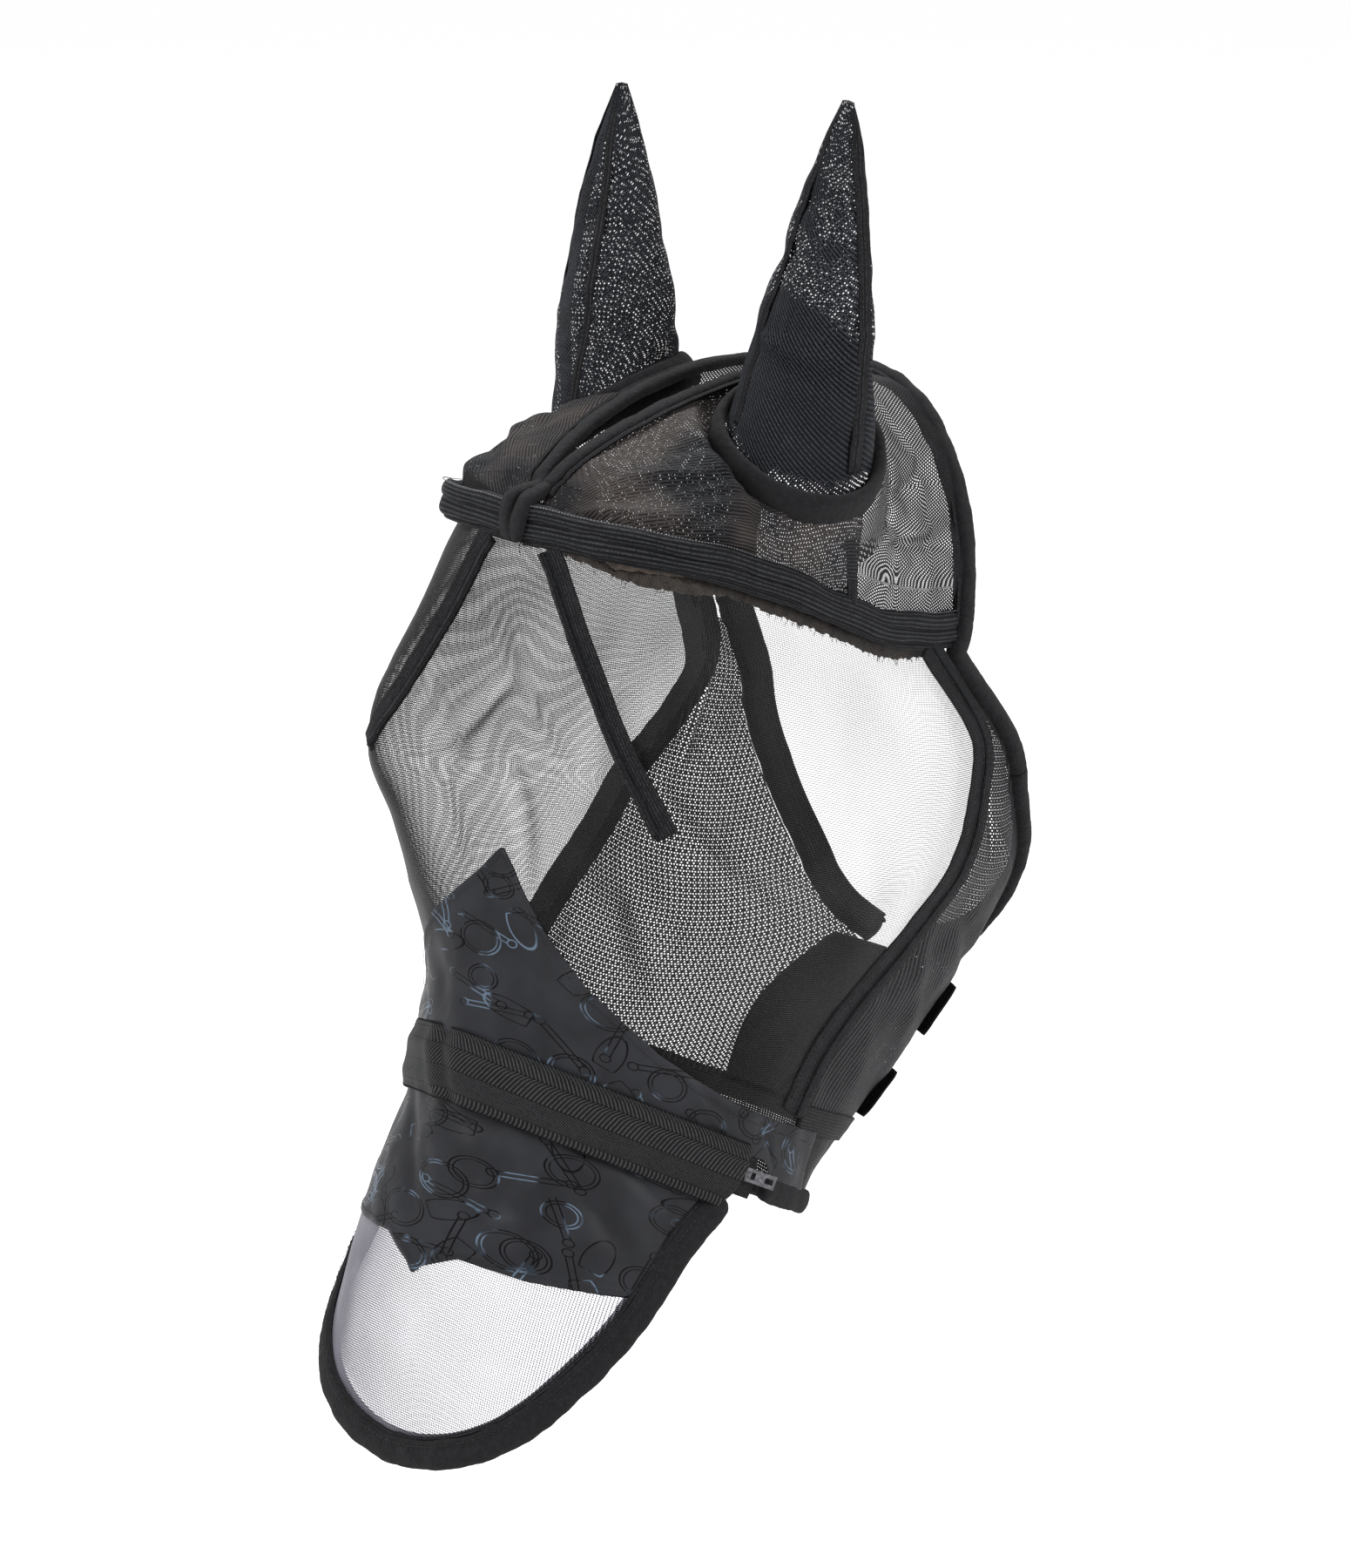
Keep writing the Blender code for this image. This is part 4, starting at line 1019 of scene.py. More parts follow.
def face_net():
    rows, columns = 96, 170
    inside = (0, 150, -150)
    points = np.zeros((rows, columns, 3))
    across, down = np.zeros((rows, columns)), np.zeros((rows, columns))
    for i, s in enumerate(np.linspace(0, 1, rows)):
        # the row ends where it meets the cheek seam
        limit = 130.0
        for _ in range(9):
            top = top_station(limit)
            station = top + 1.0 + s * (trim_station(limit) + 3.0 - top - 1.0)
            limit = 0.5 * (limit + lookup(CHEEK, station) - 0.6)
        for j, t in enumerate(np.linspace(-1, 1, columns)):
            angle = t * limit
            top, bottom = top_station(angle) + 1.0, trim_station(angle) + 3.5
            station = top + s * (bottom - top)
            points[i, j] = skin(station, angle)
            across[i, j], down[i, j] = angle * 2.0, station
    s, t = np.linspace(0, 1, rows)[:, None], np.linspace(-1, 1, columns)[None]
    edge = np.minimum(1.0, np.minimum(s, 1 - s) * 9) * np.minimum(1.0, (1 - np.abs(t)) * 14)
    height = slack(points, (2.5, 60, 3), (0.45, 28, 5)) \
        + folds(across, down, FACE_FOLDS, width_scale=1.6, height_scale=0.75) \
        + folds(-across - 150, down, RIGHT_FACE_FOLDS)
    points = raised(points, inside, height * edge)
    ob = Cloth().grid(points).make("face_net", M_FACE, MASK, "fine_mesh", "face_mesh")
    outward(ob, inside)


# ------------------------------------------------------------------ dart and cheek tapes
def dart_tape(side, sign, thread):
    points, normals = run(DART, lift=3.0, step=2.0, sign=sign)
    cloth = Cloth()
    cloth.sweep(points, normals, ribbon(13.0, 1.3, ridge=0.5, count=11), lump=0.3, seed=4)
    # a leaning welt along the tape's edge
    welt = shifted(points, normals, -5.2 * sign) + normals * 1.6
    lean = unit(normals + np.cross(normals, unit(np.gradient(points, axis=0))) * (-0.5 * sign))
    cloth.sweep(welt[:-2], lean[:-2], oval(3.2, 4.2, 12, power=2.6), fuzz=0.1, lump=0.3, seed=9)
    cloth.make("dart_tape_cloth_" + side, M_TAPE, MASK, "binding_tape", "dart_tape_" + side)
    thread.stitch(shifted(points, normals, 1.0 * sign)[3:-2], normals[3:-2],
                  step=3.0, length=2.0, radius=0.28, lift=1.15)
    thread.stitch(shifted(points, normals, 5.0 * sign)[3:-2], normals[3:-2],
                  step=3.4, length=2.2, radius=0.25, lift=0.75)
    if side == "left":
        # a short loose thread at the cut end: across, along and above the tape
        tail = np.array([(4, 0, 1.0), (5.5, 3, 1.6), (8.0, 4.5, 2.0), (9.0, 8.0, 1.2)])
        ahead = unit(points[-1] - points[-3])
        axes = np.array([np.cross(normals[-1], ahead), ahead, normals[-1]])
        loose_thread(thread, points[-1] + tail @ axes, normals[-1], width=0.45)


def cheek_tape(side, sign, thread):
    points, normals = run(np.vstack([[(3.0, 141.0)], CHEEK]), lift=0.6, step=2.2, sign=sign)
    cloth = Cloth()
    cloth.sweep(shifted(points, normals, -4.0 * sign), normals, ribbon(24.0, 1.0, count=13),
                lump=0.5, seed=21)
    cloth.sweep(shifted(points, normals, 2.6 * sign) + normals, normals,
                ribbon(8.5, 1.3, ridge=0.5), lump=0.4, seed=22)
    cloth.make("cheek_tape_cloth_" + side, M_TAPE, MASK, "binding_tape", "cheek_tape_" + side)
    for shift, lift in ((-12.5, 0.8), (-3.8, 0.8), (6.0, 1.9)):
        thread.stitch(shifted(points, normals, shift * sign)[4:-2], normals[4:-2],
                      step=3.2, length=2.1, radius=0.26, lift=lift)


# ------------------------------------------------------------------ brow band and lining
def brow_run():
    """Dense points of the left half of the brow seam, and normals evened out along it."""
    points = dense(BROW, 2.0)
    normals = []
    for point in points:
        station, angle = locate(*point)
        normals.append(skin_normal(max(station, -20), angle))
    columns = [np.convolve(np.pad(column, 8, mode="edge"), np.ones(17) / 17, "valid")
               for column in np.array(normals).T]
    return points, unit(np.array(columns).T)


def brow_band(side, sign, brow, brow_normals, thread):
    points, normals = brow * mirror(sign), brow_normals * mirror(sign)
    run_at = distances(brow)
    sway = 1.2 * np.sin(run_at / 23.0 + 1.0) + 0.8 * np.sin(run_at / 9.0)
    fat = 1.0 + 0.10 * np.sin(run_at / 31.0) + 0.05 * np.sin(run_at / 11.0 + 2)
    keep = np.abs(points[:, 0]) > 1.0

    def line(out, rise):
        return points + normals * out + UP * rise[:, None]

    level = np.ones(len(points))
    band = Cloth()
    # two rolls, the lower swelling where the upper thins
    band.sweep(line(3.0, 3.2 + 0.35 * sway)[keep], normals[keep], oval(11.5, 7.4, 22, power=2.3),
               lump=0.5, fuzz=0.10, seed=31, scale=fat[keep], taper=3)
    band.sweep(line(2.2, 11.2 + 0.6 * sway)[keep], normals[keep], oval(10.5, 8.6, 22, power=2.2),
               lump=0.7, fuzz=0.10, seed=35, scale=(2.0 - fat[keep]), taper=3)
    band.make("brow_band_cloth_" + side, M_BAND, MASK, "ribbed_knit", "brow_pad_" + side)
    piping = Cloth().sweep(line(3.4, -3.4 * level)[keep], normals[keep], oval(4.6, 3.4, 12),
                           lump=0.3, fuzz=0.1, seed=41, taper=2)
    piping.make("brow_piping_cloth_" + side, M_TAPE, MASK, "binding_tape", "brow_piping_" + side)
    dots = Cloth().stitch(line(5.2, 16.2 + 0.6 * sway)[4:], normals[4:],
                          step=2.1, length=1.1, radius=0.34, lift=0.1)
    dots.make("brow_dots_" + side, M_THREAD_GREY, MASK, "binding_tape")
    thread.stitch(line(6.0, 0.6 * level)[4:], normals[4:],
                  step=3.0, length=2.0, radius=0.26, lift=0.3)


def brow_lining(brow, brow_normals):
    """Frayed inner lining hanging below the band, with loose threads at its edge."""
    halves = [np.vstack([(half * mirror(-1))[::-1], half])
              for half in (brow[3:-3], brow_normals[3:-3])]
    base, normals = even_run(0.9, *halves)
    drop = 0.4 + 2.2 + slack(base, (1.6, 17, 50), (0.9, 4.0, 51), (0.8, 1.5, 52))
    # longer tatters: x, extra length, half width
    for x, extra, width in ((60, 3.6, 11.0), (94, 4.4, 9.0), (-74, 2.5, 16.0)):
        drop = drop + extra * bell(base[:, 0] - x, width)
    hanging = base - normals * (3.2 + 0.4 * noise(base, 5, 53))[:, None]
    points = np.stack([base - normals * 3.4 + UP * z for z in (8.0, 4.0, 0.0, -3.5)] +
                      [hanging - UP * (3.5 + drop * share)[:, None] for share in (0.35, 0.7, 1.0)])
    Cloth().grid(points).make("lining_frayed_cloth", M_LINING, MASK, "lining", "brow_lining",
                              thickness=0.7)
    fray = Cloth()
    chance = np.random.RandomState(7)
    for i in chance.choice(len(base) - 4, 150, replace=False):
        length = chance.uniform(1.5, 4.5)
        ahead = unit(np.array([chance.uniform(-0.6, 0.6), chance.uniform(-0.4, 0.4), -1.0]))
        bend = unit(chance.normal(size=3))
        line = [points[-1, i] + ahead * length * s + bend * (s * s) * length * 0.25
                for s in np.linspace(-0.3, 1, 5)]
        fray.sweep(line, normals[i], oval(0.32, 0.32, 5), taper=0.5)
    fray.make("lining_threads", M_LINING, MASK, "lining")


# ------------------------------------------------------------------ crown
FRONT_CROWN_FOLDS = [
    (20, 62, 120, 88, 5.0, -3.6), (40, 78, 150, 104, 4.0, -3.0), (60, 40, 110, 66, 5.0, -2.4),
    (90, 96, 158, 112, 4.0, 2.4), (30, 48, 76, 74, 4.0, 2.4), (12, 88, 92, 104, 4.0, -3.0)]
REAR_CROWN_FOLDS = [
    (168, 118, 262, 78, 4.5, -3.2), (172, 132, 268, 112, 4.0, 2.8), (166, 96, 232, 52, 5.0, -2.8),
    (196, 128, 272, 128, 4.0, -2.4), (180, 84, 270, 70, 5.0, 2.4),
    (170, 104, 210, 118, 4.0, -2.2)]


@functools.lru_cache
def ear_frame(sign):
    """Centre of the ear opening, its normal, and the ear's own axes."""
    centre = np.array([69.0 * sign, 150.0, 30.0])
    up = unit(np.array([87.0 * sign, 178.0, 215.0]) - centre)
    normal = unit(np.array([0.5 * sign, -0.15, 0.853]))
    outer = square_to(np.array([1.0 * sign, 0, 0]), up)
    front = square_to(np.array([0, -1.0, 0]), up, outer)
    # the same directions laid in the plane of the opening
    ring_outer = square_to(outer, normal)
    ring_front = np.cross(normal, ring_outer)
    if np.dot(ring_front, front) < 0:
        ring_front = -ring_front
    return SimpleNamespace(centre=centre, normal=normal, up=up, outer=outer, front=front,
                           ring_outer=ring_outer, ring_front=ring_front)


def ring_place(points, ear):
    """Height above the plane of the ear opening, and distance from its axis."""
    away = points - ear.centre
    above = np.sum(away * ear.normal, -1)
    return above, np.linalg.norm(away - ear.normal * above[..., None], axis=-1)


def front_shape(y, down, t, ring):
    """Swell above the hem, folds and ribs of the front panel."""
    return 4.6 * bell(t - 0.87, 0.075) * smooth((y - 4) / 20.0) \
        + folds(y, down, FRONT_CROWN_FOLDS) * (0.4 + 0.6 * ring) \
        + 0.16 * np.sin((down + y * 0.10) * 2 * math.pi / 2.4)


def rear_shape(y, down, t, ring):
    return folds(y, down, REAR_CROWN_FOLDS)


def crown_grid(sign, y_start, y_end, rows, columns):
    """Points of a crown panel, their y, and mm down from the forelock opening."""
    points = np.zeros((rows, columns, 3))
    ys, down = np.zeros((rows, columns)), np.zeros((rows, columns))
    for i, y in enumerate(np.linspace(y_start, y_end, rows)):
        top, half_width, brow, _ = spline(CROWN, y)
        high = crown_hem_angle(half_width)
        # behind the opening the two sides meet
        meet = smooth((y - 240) / 8.0)
        low = min(slit_angle(y, 1.5) * (1 - meet) + 0.2 * meet, high - 8)
        for j, t in enumerate(np.linspace(0, 1, columns)):
            angle = low + (high - low) * t
            points[i, j] = crown(rear_y(y, angle), sign * angle)
            ys[i, j], down[i, j] = y, t * (half_width + top - brow) * 0.8
    return points, ys, down


def crown_panel(side, sign, part, y_start, y_end, rows, columns, material, slot, seed, shape):
    ear = ear_frame(sign)
    points, ys, down = crown_grid(sign, y_start, y_end, rows, columns)
    t = np.linspace(0, 1, columns)[None, :]
    hem = np.sin(np.pi * t).clip(0) ** 0.7
    # cloth stands slack between the bindings, and lies low round the ear ring
    above, radius = ring_place(points, ear)
    ring = np.clip((radius - 44.0) / 22.0, 0, 1)
    height = (3.0 * hem + slack(points, (2.6, 34, seed), (1.3, 15, seed + 1), (0.4, 7, seed + 2))) \
        * (0.05 + 0.95 * ring) * np.minimum(1, hem * 1.8) \
        - 3.4 * np.clip(1 - (radius - 48.0) / 12.0, 0, 1) * (above > -4)
    height += shape(ys, down, t, ring)
    # turned down where the band takes it
    height = height - 2.0 * bell(t - 1.0, 0.03)
    points = raised(points, (sign * 30, 150, -40), height)
    # round the ear the cloth is drawn in to the sewn ring
    above, radius = ring_place(points, ear)
    pull = smooth((64.0 - radius) / 15.0) * (np.abs(above) < 45)
    points = points + ear.normal * ((np.clip(above, -7.5, -4.5) - above) * pull)[..., None]
    cloth = Cloth().grid(points)
    # the ear opening is left out
    cloth.drop_faces(((radius < 44.5) & (np.abs(above) < 34)).reshape(-1))
    ob = cloth.make("crown_%s_cloth_%s" % (part, side), material, None, slot,
                    "crown_%s_%s" % (part, side))
    edit = bmesh.new()
    edit.from_mesh(ob.data)
    bmesh.ops.delete(edit, geom=[v for v in edit.verts if not v.link_faces], context="VERTS")
    edit.to_mesh(ob.data)
    edit.free()
    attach(ob, MASK)


def crown_seam(side, sign):
    """Seam tape between the two crown panels, from the ear ring down to the band."""
    ear = ear_frame(sign)
    points, normals = [], []
    hem_angle = crown_hem_angle(spline(CROWN, CROWN_SEAM)[1])
    for angle in np.linspace(slit_angle(CROWN_SEAM, 4), hem_angle, 60):
        point = crown_off(CROWN_SEAM, sign * angle, 3.6)
        if ring_place(point, ear)[1] > 50 and point[0] * sign > ear.centre[0] * sign:
            points.append(point)
            normals.append(crown_normal(CROWN_SEAM, sign * angle))
    cloth = Cloth().sweep(*even_run(1.6, points, normals), ribbon(8.0, 1.4, ridge=0.8),
                          lump=0.4, seed=77)
    cloth.make("crown_seam_" + side, M_TAPE, MASK, "binding_tape")


def slit_line(sign, y_start, y_end, extra, lift):
    """Points and normals along the forelock opening, extra mm out from its edge."""
    places = [(y, sign * slit_angle(y, extra)) for y in np.linspace(y_start, y_end, 60)]
    return [crown_off(*place, lift) for place in places], [crown_normal(*p) for p in places]


def forelock_binding(side, sign):
    """Fleece along the forelock opening, with a thin sewn cord outside it."""
    points, normals = slit_line(sign, 10, 246, extra=0.6, lift=2.6)
    # the roll starts at the middle of the brow, in front of the band
    lead = np.array([(1.6, -7.5, -3.0), (3.2, -8.6, 5.0), (4.6, -7.2, 13.0), (5.2, -2.0, 20.5)])
    lead_normals = np.array([(0.1, -1.0, 0.1), (0.1, -1.0, 0.15), (0.1, -0.95, 0.3),
                             (0.1, -0.75, 0.6)])
    roll = even_run(1.4, np.vstack([lead * mirror(sign), points[2:]]),
                    np.vstack([lead_normals * mirror(sign), normals[2:]]))
    cloth = Cloth().sweep(*roll, fleece(10.0, 7.6, 22, groove=0.5), fuzz=0.28, lump=0.5,
                          seed=81, taper=5)
    cloth.make("forelock_fleece_" + side, M_FLEECE, MASK, "fleece", "forelock_binding_" + side)
    cord = even_run(1.5, *slit_line(sign, 14, 244, extra=7.6, lift=3.4))
    cloth = Cloth().sweep(*cord, oval(3.0, 2.6, 10), fuzz=0.1, lump=0.2, seed=85, taper=2)
    cloth.make("forelock_cord_" + side, M_TAPE, MASK, "fleece")


def ear_ring(side, sign):
    """Fleece roll round the ear."""
    ear = ear_frame(sign)
    rear = square_to(np.array([0, 1.0, 0]), ear.normal)
    angles = np.linspace(0, 2 * math.pi, 200, endpoint=False)[:, None]
    radial = np.cos(angles) * rear + np.sin(angles) * np.cross(ear.normal, rear)
    points = ear.centre + radial * (46.6 + 0.8 * np.sin(angles * 3 + 1)) \
        + ear.normal * (1.2 * np.sin(angles * 2 + 0.6) - 1.0)
    cloth = Cloth().sweep(points, radial, fleece(21.0, 9.6, 30), loop=True, fuzz=0.30,
                          lump=0.8, seed=90)
    cloth.make("ear_ring_fleece_" + side, M_FLEECE, MASK, "fleece", "ear_ring_" + side)


# ------------------------------------------------------------------ ears
OUTER_SEAM = 84.0                                    # degrees outwards from the ear's front
FRONT_SEAM = {"left": -30.0, "right": -4.0}
EAR_LEAN = {"left": np.array([-5.0, -6.0, 5.0]), "right": np.array([0.0, -3.0, -8.0])}
EAR_FOLDS = [
    (-60, 96, 30, 112, 7.0, -2.2), (-30, 60, 50, 48, 6.0, 1.8), (0, 30, 48, 20, 6.0, -2.4),
    (-40, 128, 20, 140, 7.0, -1.6), (10, 84, 46, 70, 6.0, -1.8), (-80, 40, -20, 58, 8.0, -1.8)]


def ear_point(side, sign, t, angle):
    """Point at share t of the ear's length; angle 0 is its front, 90 its outer side."""
    ear = ear_frame(sign)
    width, depth = lookup(EAR_SECTIONS, t), lookup(EAR_SECTIONS, t, value=2)
    ahead, aside = math.cos(math.radians(angle)), math.sin(math.radians(angle))
    depth *= 1.0 - 0.22 * max(-ahead, 0.0) * (1 - t)
    fold = 1.0 + 0.16 * max(ahead, 0) ** 8 * (1 - t)
    free = ear.centre + ear.up * (2.0 + t * EAR_LENGTH) + ear.outer * (aside * width) \
        + ear.front * (ahead * depth * fold) + EAR_LEAN[side] * t
    foot = ear.centre + ear.ring_outer * aside * 42.6 \
        + ear.ring_front * ahead * (42.4 if ahead > 0 else 39.0) + ear.normal
    share = smooth(t / 0.26)
    return foot * (1 - share) + free * share + ear.up * (t * EAR_LENGTH) * (1 - share)


def ear_slack(points):
    return slack(points, (1.5, 26, 100), (0.8, 11, 101))


def ear_height(side, points, t, angle):
    """Slack, seams, folds and ribs of the ear's cloth."""
    front_seam = FRONT_SEAM[side]
    height = ear_slack(points) * np.clip(t * 6, 0, 1) * np.clip((1.02 - t) * 3, 0, 1)
    # the cloth pulls in along its seams
    for seam in (front_seam, OUTER_SEAM):
        height -= 1.5 * bell(angle - seam, 7.0) * np.clip((0.98 - t) * 4, 0, 1)
    height += folds(angle * 0.5, t * 190.0, EAR_FOLDS)
    # ribs slant across the ear; on the left they run steep below a join
    narrowing = np.interp(t, [0, 1], [1.0, 0.25])
    rib_turn = 2 * math.pi / 2.45
    slant = np.sin((angle * narrowing * 0.62 + t * EAR_LENGTH * 0.92) * rib_turn)
    steep = np.sin((angle * narrowing * 0.66 - t * EAR_LENGTH * 0.25) * rib_turn)
    low = 0.0 * t
    if side == "left":
        low = np.clip((0.33 + 0.0006 * angle - t) * 60 + 0.5, 0, 1) \
            * (angle > front_seam) * (angle < OUTER_SEAM)
    return height + 0.17 * (slant * (1 - low) + steep * low) + 0.7 * low


def blend_ear(ob, sign):
    ear = ear_frame(sign)
    blend(ob, ear.centre + ear.up * 4.0, ear.centre + ear.up * 55.0)


def ear_cloth(side, sign):
    ear = ear_frame(sign)
    rows, columns = 236, 264
    shares = np.concatenate([np.linspace(-0.03, 0.97, rows - 10),
                             0.97 + 0.03 * np.sin(np.linspace(0.05, 1, 10) * math.pi / 2)])
    angles = np.linspace(-180, 180, columns, endpoint=False)
    points = np.array([[ear_point(side, sign, max(t, 0.0), angle)
                        + ear.up * (min(t, 0.0) * EAR_LENGTH) for angle in angles]
                       for t in shares])
    normals = unit(points - points.mean(1, keepdims=True))
    t = shares[:, None] * np.ones((1, columns))
    angle = np.ones((rows, 1)) * angles[None]
    points = points + normals * ear_height(side, points, t, angle)[..., None]
    cloth = Cloth().grid(points, wrap=True)
    # close the tip
    cloth.verts.append(points[-1].mean(0)[None] + ear.up * 0.8)
    first = (rows - 1) * columns
    for k in range(columns):
        cloth.faces.append([first + k, first + (k + 1) % columns, cloth.count])
        cloth.uvs.append(np.array([[k * 0.15, 190.0], [k * 0.15 + 0.15, 190.0],
                                   [k * 0.15, 192.0]]))
    ob = cloth.make("ear_cloth_" + side, M_EAR[side], None, "ribbed_knit",
                    "ear_back_" + side, "ear_front_" + side)
    outward(ob, ear.centre + ear.up * 60)
    blend_ear(ob, sign)


def ear_seams(side, sign):
    """One seam down the outer side and a narrower one down the front."""
    tapes, thread = Cloth(), Cloth()
    shares = np.linspace(0.06, 0.985, 120)
    scale = np.clip((1.0 - shares) * 4.0 + 0.35, 0.35, 1.0)
    for seam, width in ((OUTER_SEAM, 9.0), (FRONT_SEAM[side], 5.0)):
        points = np.array([ear_point(side, sign, t, seam) for t in shares])
        across = np.array([ear_point(side, sign, t, seam + 180) for t in shares])
        normals = unit(points - 0.5 * (points + across))
        points = points + normals * (ear_slack(points) * 0.9 - 0.6)[:, None]
        tapes.sweep(points, normals, ribbon(width, 1.2, ridge=1.0), lump=0.3, seed=111,
                    scale=scale)
        for shift in (0.33, -0.33):
            thread.stitch(shifted(points, normals, width * shift)[2:-12], normals[2:-12],
                          step=2.9, length=1.9, radius=0.25, lift=0.8)
    ob = tapes.make("ear_seam_tape_" + side, M_TAPE, None, "binding_tape", "ear_seam_" + side)
    blend_ear(ob, sign)
    ob = thread.make("ear_seam_stitches_" + side, M_THREAD, None, "binding_tape")
    blend_ear(ob, sign)


# ------------------------------------------------------------------ poll and neck bindings
def poll_line(y, half_angle, lift):
    places = [(rear_y(y, angle), angle) for angle in np.linspace(-half_angle, half_angle, 120)]
    return even_run(1.6, [crown_off(*place, lift) for place in places],
                    [crown_normal(*place) for place in places])


def poll_binding():
    points, normals = poll_line(286.5, half_angle=88, lift=0.0)
    roll = Cloth().sweep(points + normals * 0.6, normals, fleece(16.0, 12.5, 26),
                         fuzz=0.30, lump=0.8, seed=120, taper=7)
    roll.make("poll_fleece", M_FLEECE, MASK, "fleece", "poll_binding")
    cord = Cloth().sweep(*poll_line(275.5, half_angle=86, lift=2.4), oval(3.6, 3.0, 12),
                         fuzz=0.12, lump=0.4, seed=125, taper=3)
    cord.make("poll_cord", M_TAPE, MASK, "fleece")


def neck_edge(side, sign, part, low, high, body):
    """Fleece and tapes of one stretch of the neck edge, between two stations."""
    path = [(station, angle) for station, angle in resample(NECK, 90)
            if low <= station <= high and angle < 177.5]
    points, normals = run(path, lift=1.2, step=1.8, sign=sign)
    if part == "neck":
        # lead the roll in from the end of the poll fleece
        start = crown(rear_y(285.0, 82), sign * 82) + np.array([0.5 * sign, 1.0, 0.0])
        middle = 0.55 * start + 0.45 * points[0] + normals[0] * 1.5
        lead, lead_normals = even_run(
            1.8, np.vstack([start, middle, points[:12:3]]),
            np.vstack([[sign * 0.9, 0.3, 0], normals[0], normals[:12:3]]))
        points = np.vstack([lead, points[10:]])
        normals = np.vstack([lead_normals, normals[10:]])
    roll = Cloth().sweep(points, normals, fleece(16.5, 11.5, 26, groove=0.4), fuzz=0.30,
                         lump=0.8, seed=130, taper=1.6)
    roll.make("%s_fleece_%s" % (part, side), M_FLEECE, body, "fleece",
              "%s_binding_%s" % (part, side))
    tapes = Cloth().sweep(shifted(points, normals, 9.0 * sign) + normals * 0.8, normals,
                          oval(3.2, 2.8, 10), fuzz=0.1, lump=0.3, seed=133, taper=2)
    # tape lining the inside of the edge
    tapes.sweep(shifted(points, normals, 4.0 * sign) - normals * 4.6, normals,
                ribbon(15.0, 0.9), lump=0.3, seed=134)
    tapes.make("%s_edge_tape_%s" % (part, side), M_TAPE, body, "binding_tape")


# ------------------------------------------------------------------ jowl flaps
JOWL_INSIDE = (0, 130, -200)
JOWL_FOLDS = [(10, 40, 60, 110, 6, -3.0), (30, 120, 120, 170, 7, -3.2),
              (20, 150, 90, 214, 6, 2.6), (60, 90, 130, 120, 6, 2.4)]


def blend_flap(ob, sign, start=14.0, length=34.0):
    """Bakes the flap's transform into its mesh."""
    middle = 0.5 * (HINGE_TOP + HINGE_LOW)
    away = square_to(np.array([0, 230.0, -330.0]) - middle, unit(HINGE_LOW - HINGE_TOP))
    blend(ob, (middle + away * start) * mirror(sign),
          (middle + away * (start + length)) * mirror(sign))


def jowl_net(side, sign):
    rows, columns = 110, 90
    inner = resample([(station, angle + 0.5) for station, angle in CHEEK
                      if station > FLAP_TOP - 56], rows)
    outer = resample([(station + 1.0, angle - 2.0) for station, angle in NECK
                      if FLAP_TOP - 52 < station < 194] +
                     [(213.0, 178.3), (228, 179.6), (246, 179.6), (266, 179.6)], rows)
    points = np.array([[skin(a[0] + (b[0] - a[0]) * t, sign * (a[1] + (b[1] - a[1]) * t))
                        for t in np.linspace(0, 1, columns)] for a, b in zip(inner, outer)])
    uv = arc_uv(points)
    i, j = np.linspace(0, 1, rows)[:, None], np.linspace(0, 1, columns)[None]
    ease = np.clip(np.minimum(i, 1 - i) * 12, 0, 1) * np.clip(np.minimum(j, 1 - j) * 8, 0, 1)
    height = (slack(points, (2.2, 38, 140), (1.0, 16, 141), (0.3, 8, 142))
              + folds(j * 150, i * 230, JOWL_FOLDS)) * ease
    points = raised(points, JOWL_INSIDE, height + 0.2)
    ob = Cloth().grid(points, uv).make("jowl_net_" + side, M_JOWL, None, "coarse_mesh",
                                       "jowl_panel_" + side)
    blend_flap(ob, sign)


def jaw_angle(station, x, halvings=30):
    """Angle under the jaw where the surface is x mm from the middle."""
    low, high = 110.0, 180.0
    for _ in range(halvings):
        middle = 0.5 * (low + high)
        if skin(station, middle)[0] > x:
            low = middle
        else:
            high = middle
    return 0.5 * (low + high)


def jaw(station, x, lift):
    """Point under the jaw, x mm to the left of the middle."""
    point = off(station, jaw_angle(station, abs(x)), lift)
    return point * mirror(0 if abs(x) <= 0.5 else math.copysign(1, x))


def throat_hem(side, sign):
    """A solid doubled tape inside the net's edge along the throat."""
    rows = []
    for s in np.linspace(0, 1, 60):
        station = 206.0 + s * 60.0
        width = 30.0 + 15.0 * math.sin(s * math.pi) + (8.0 if side == "right" else 0.0)
        rows.append([off(station, jaw_angle(station, 0.6 + t * width, halvings=22), -1.2)
                     * mirror(sign) for t in np.linspace(0, 1, 12)])
    Cloth().grid(rows).make("throat_hem_" + side, M_TAPE, "jowl_%s_body" % side,
                            "binding_tape", thickness=1.0)


def strap_grid(x_start, x_end, top, bottom, lift, rows=60, columns=14, curl=0.0):
    """A band under the jaw; its left end is rounded, and lifts by curl."""
    end_length, rounding = (22.0, 11.0) if x_end > 80 else (6.0, 4.0)
    points = []
    for x in np.linspace(x_start, x_end, rows):
        share = (x - x_start) / (x_end - x_start)
        end = max(0.0, (x - (x_end - end_length)) / end_length)
        rise = lift + curl * max(0.0, share - 0.8) * 5.0
        row = []
        for station in np.linspace(top, bottom, columns):
            across = (station - top) / (bottom - top) * 2 - 1
            row.append(jaw(station, x - rounding * across ** 2 * end, rise))
        points.append(row)
    return np.array(points)


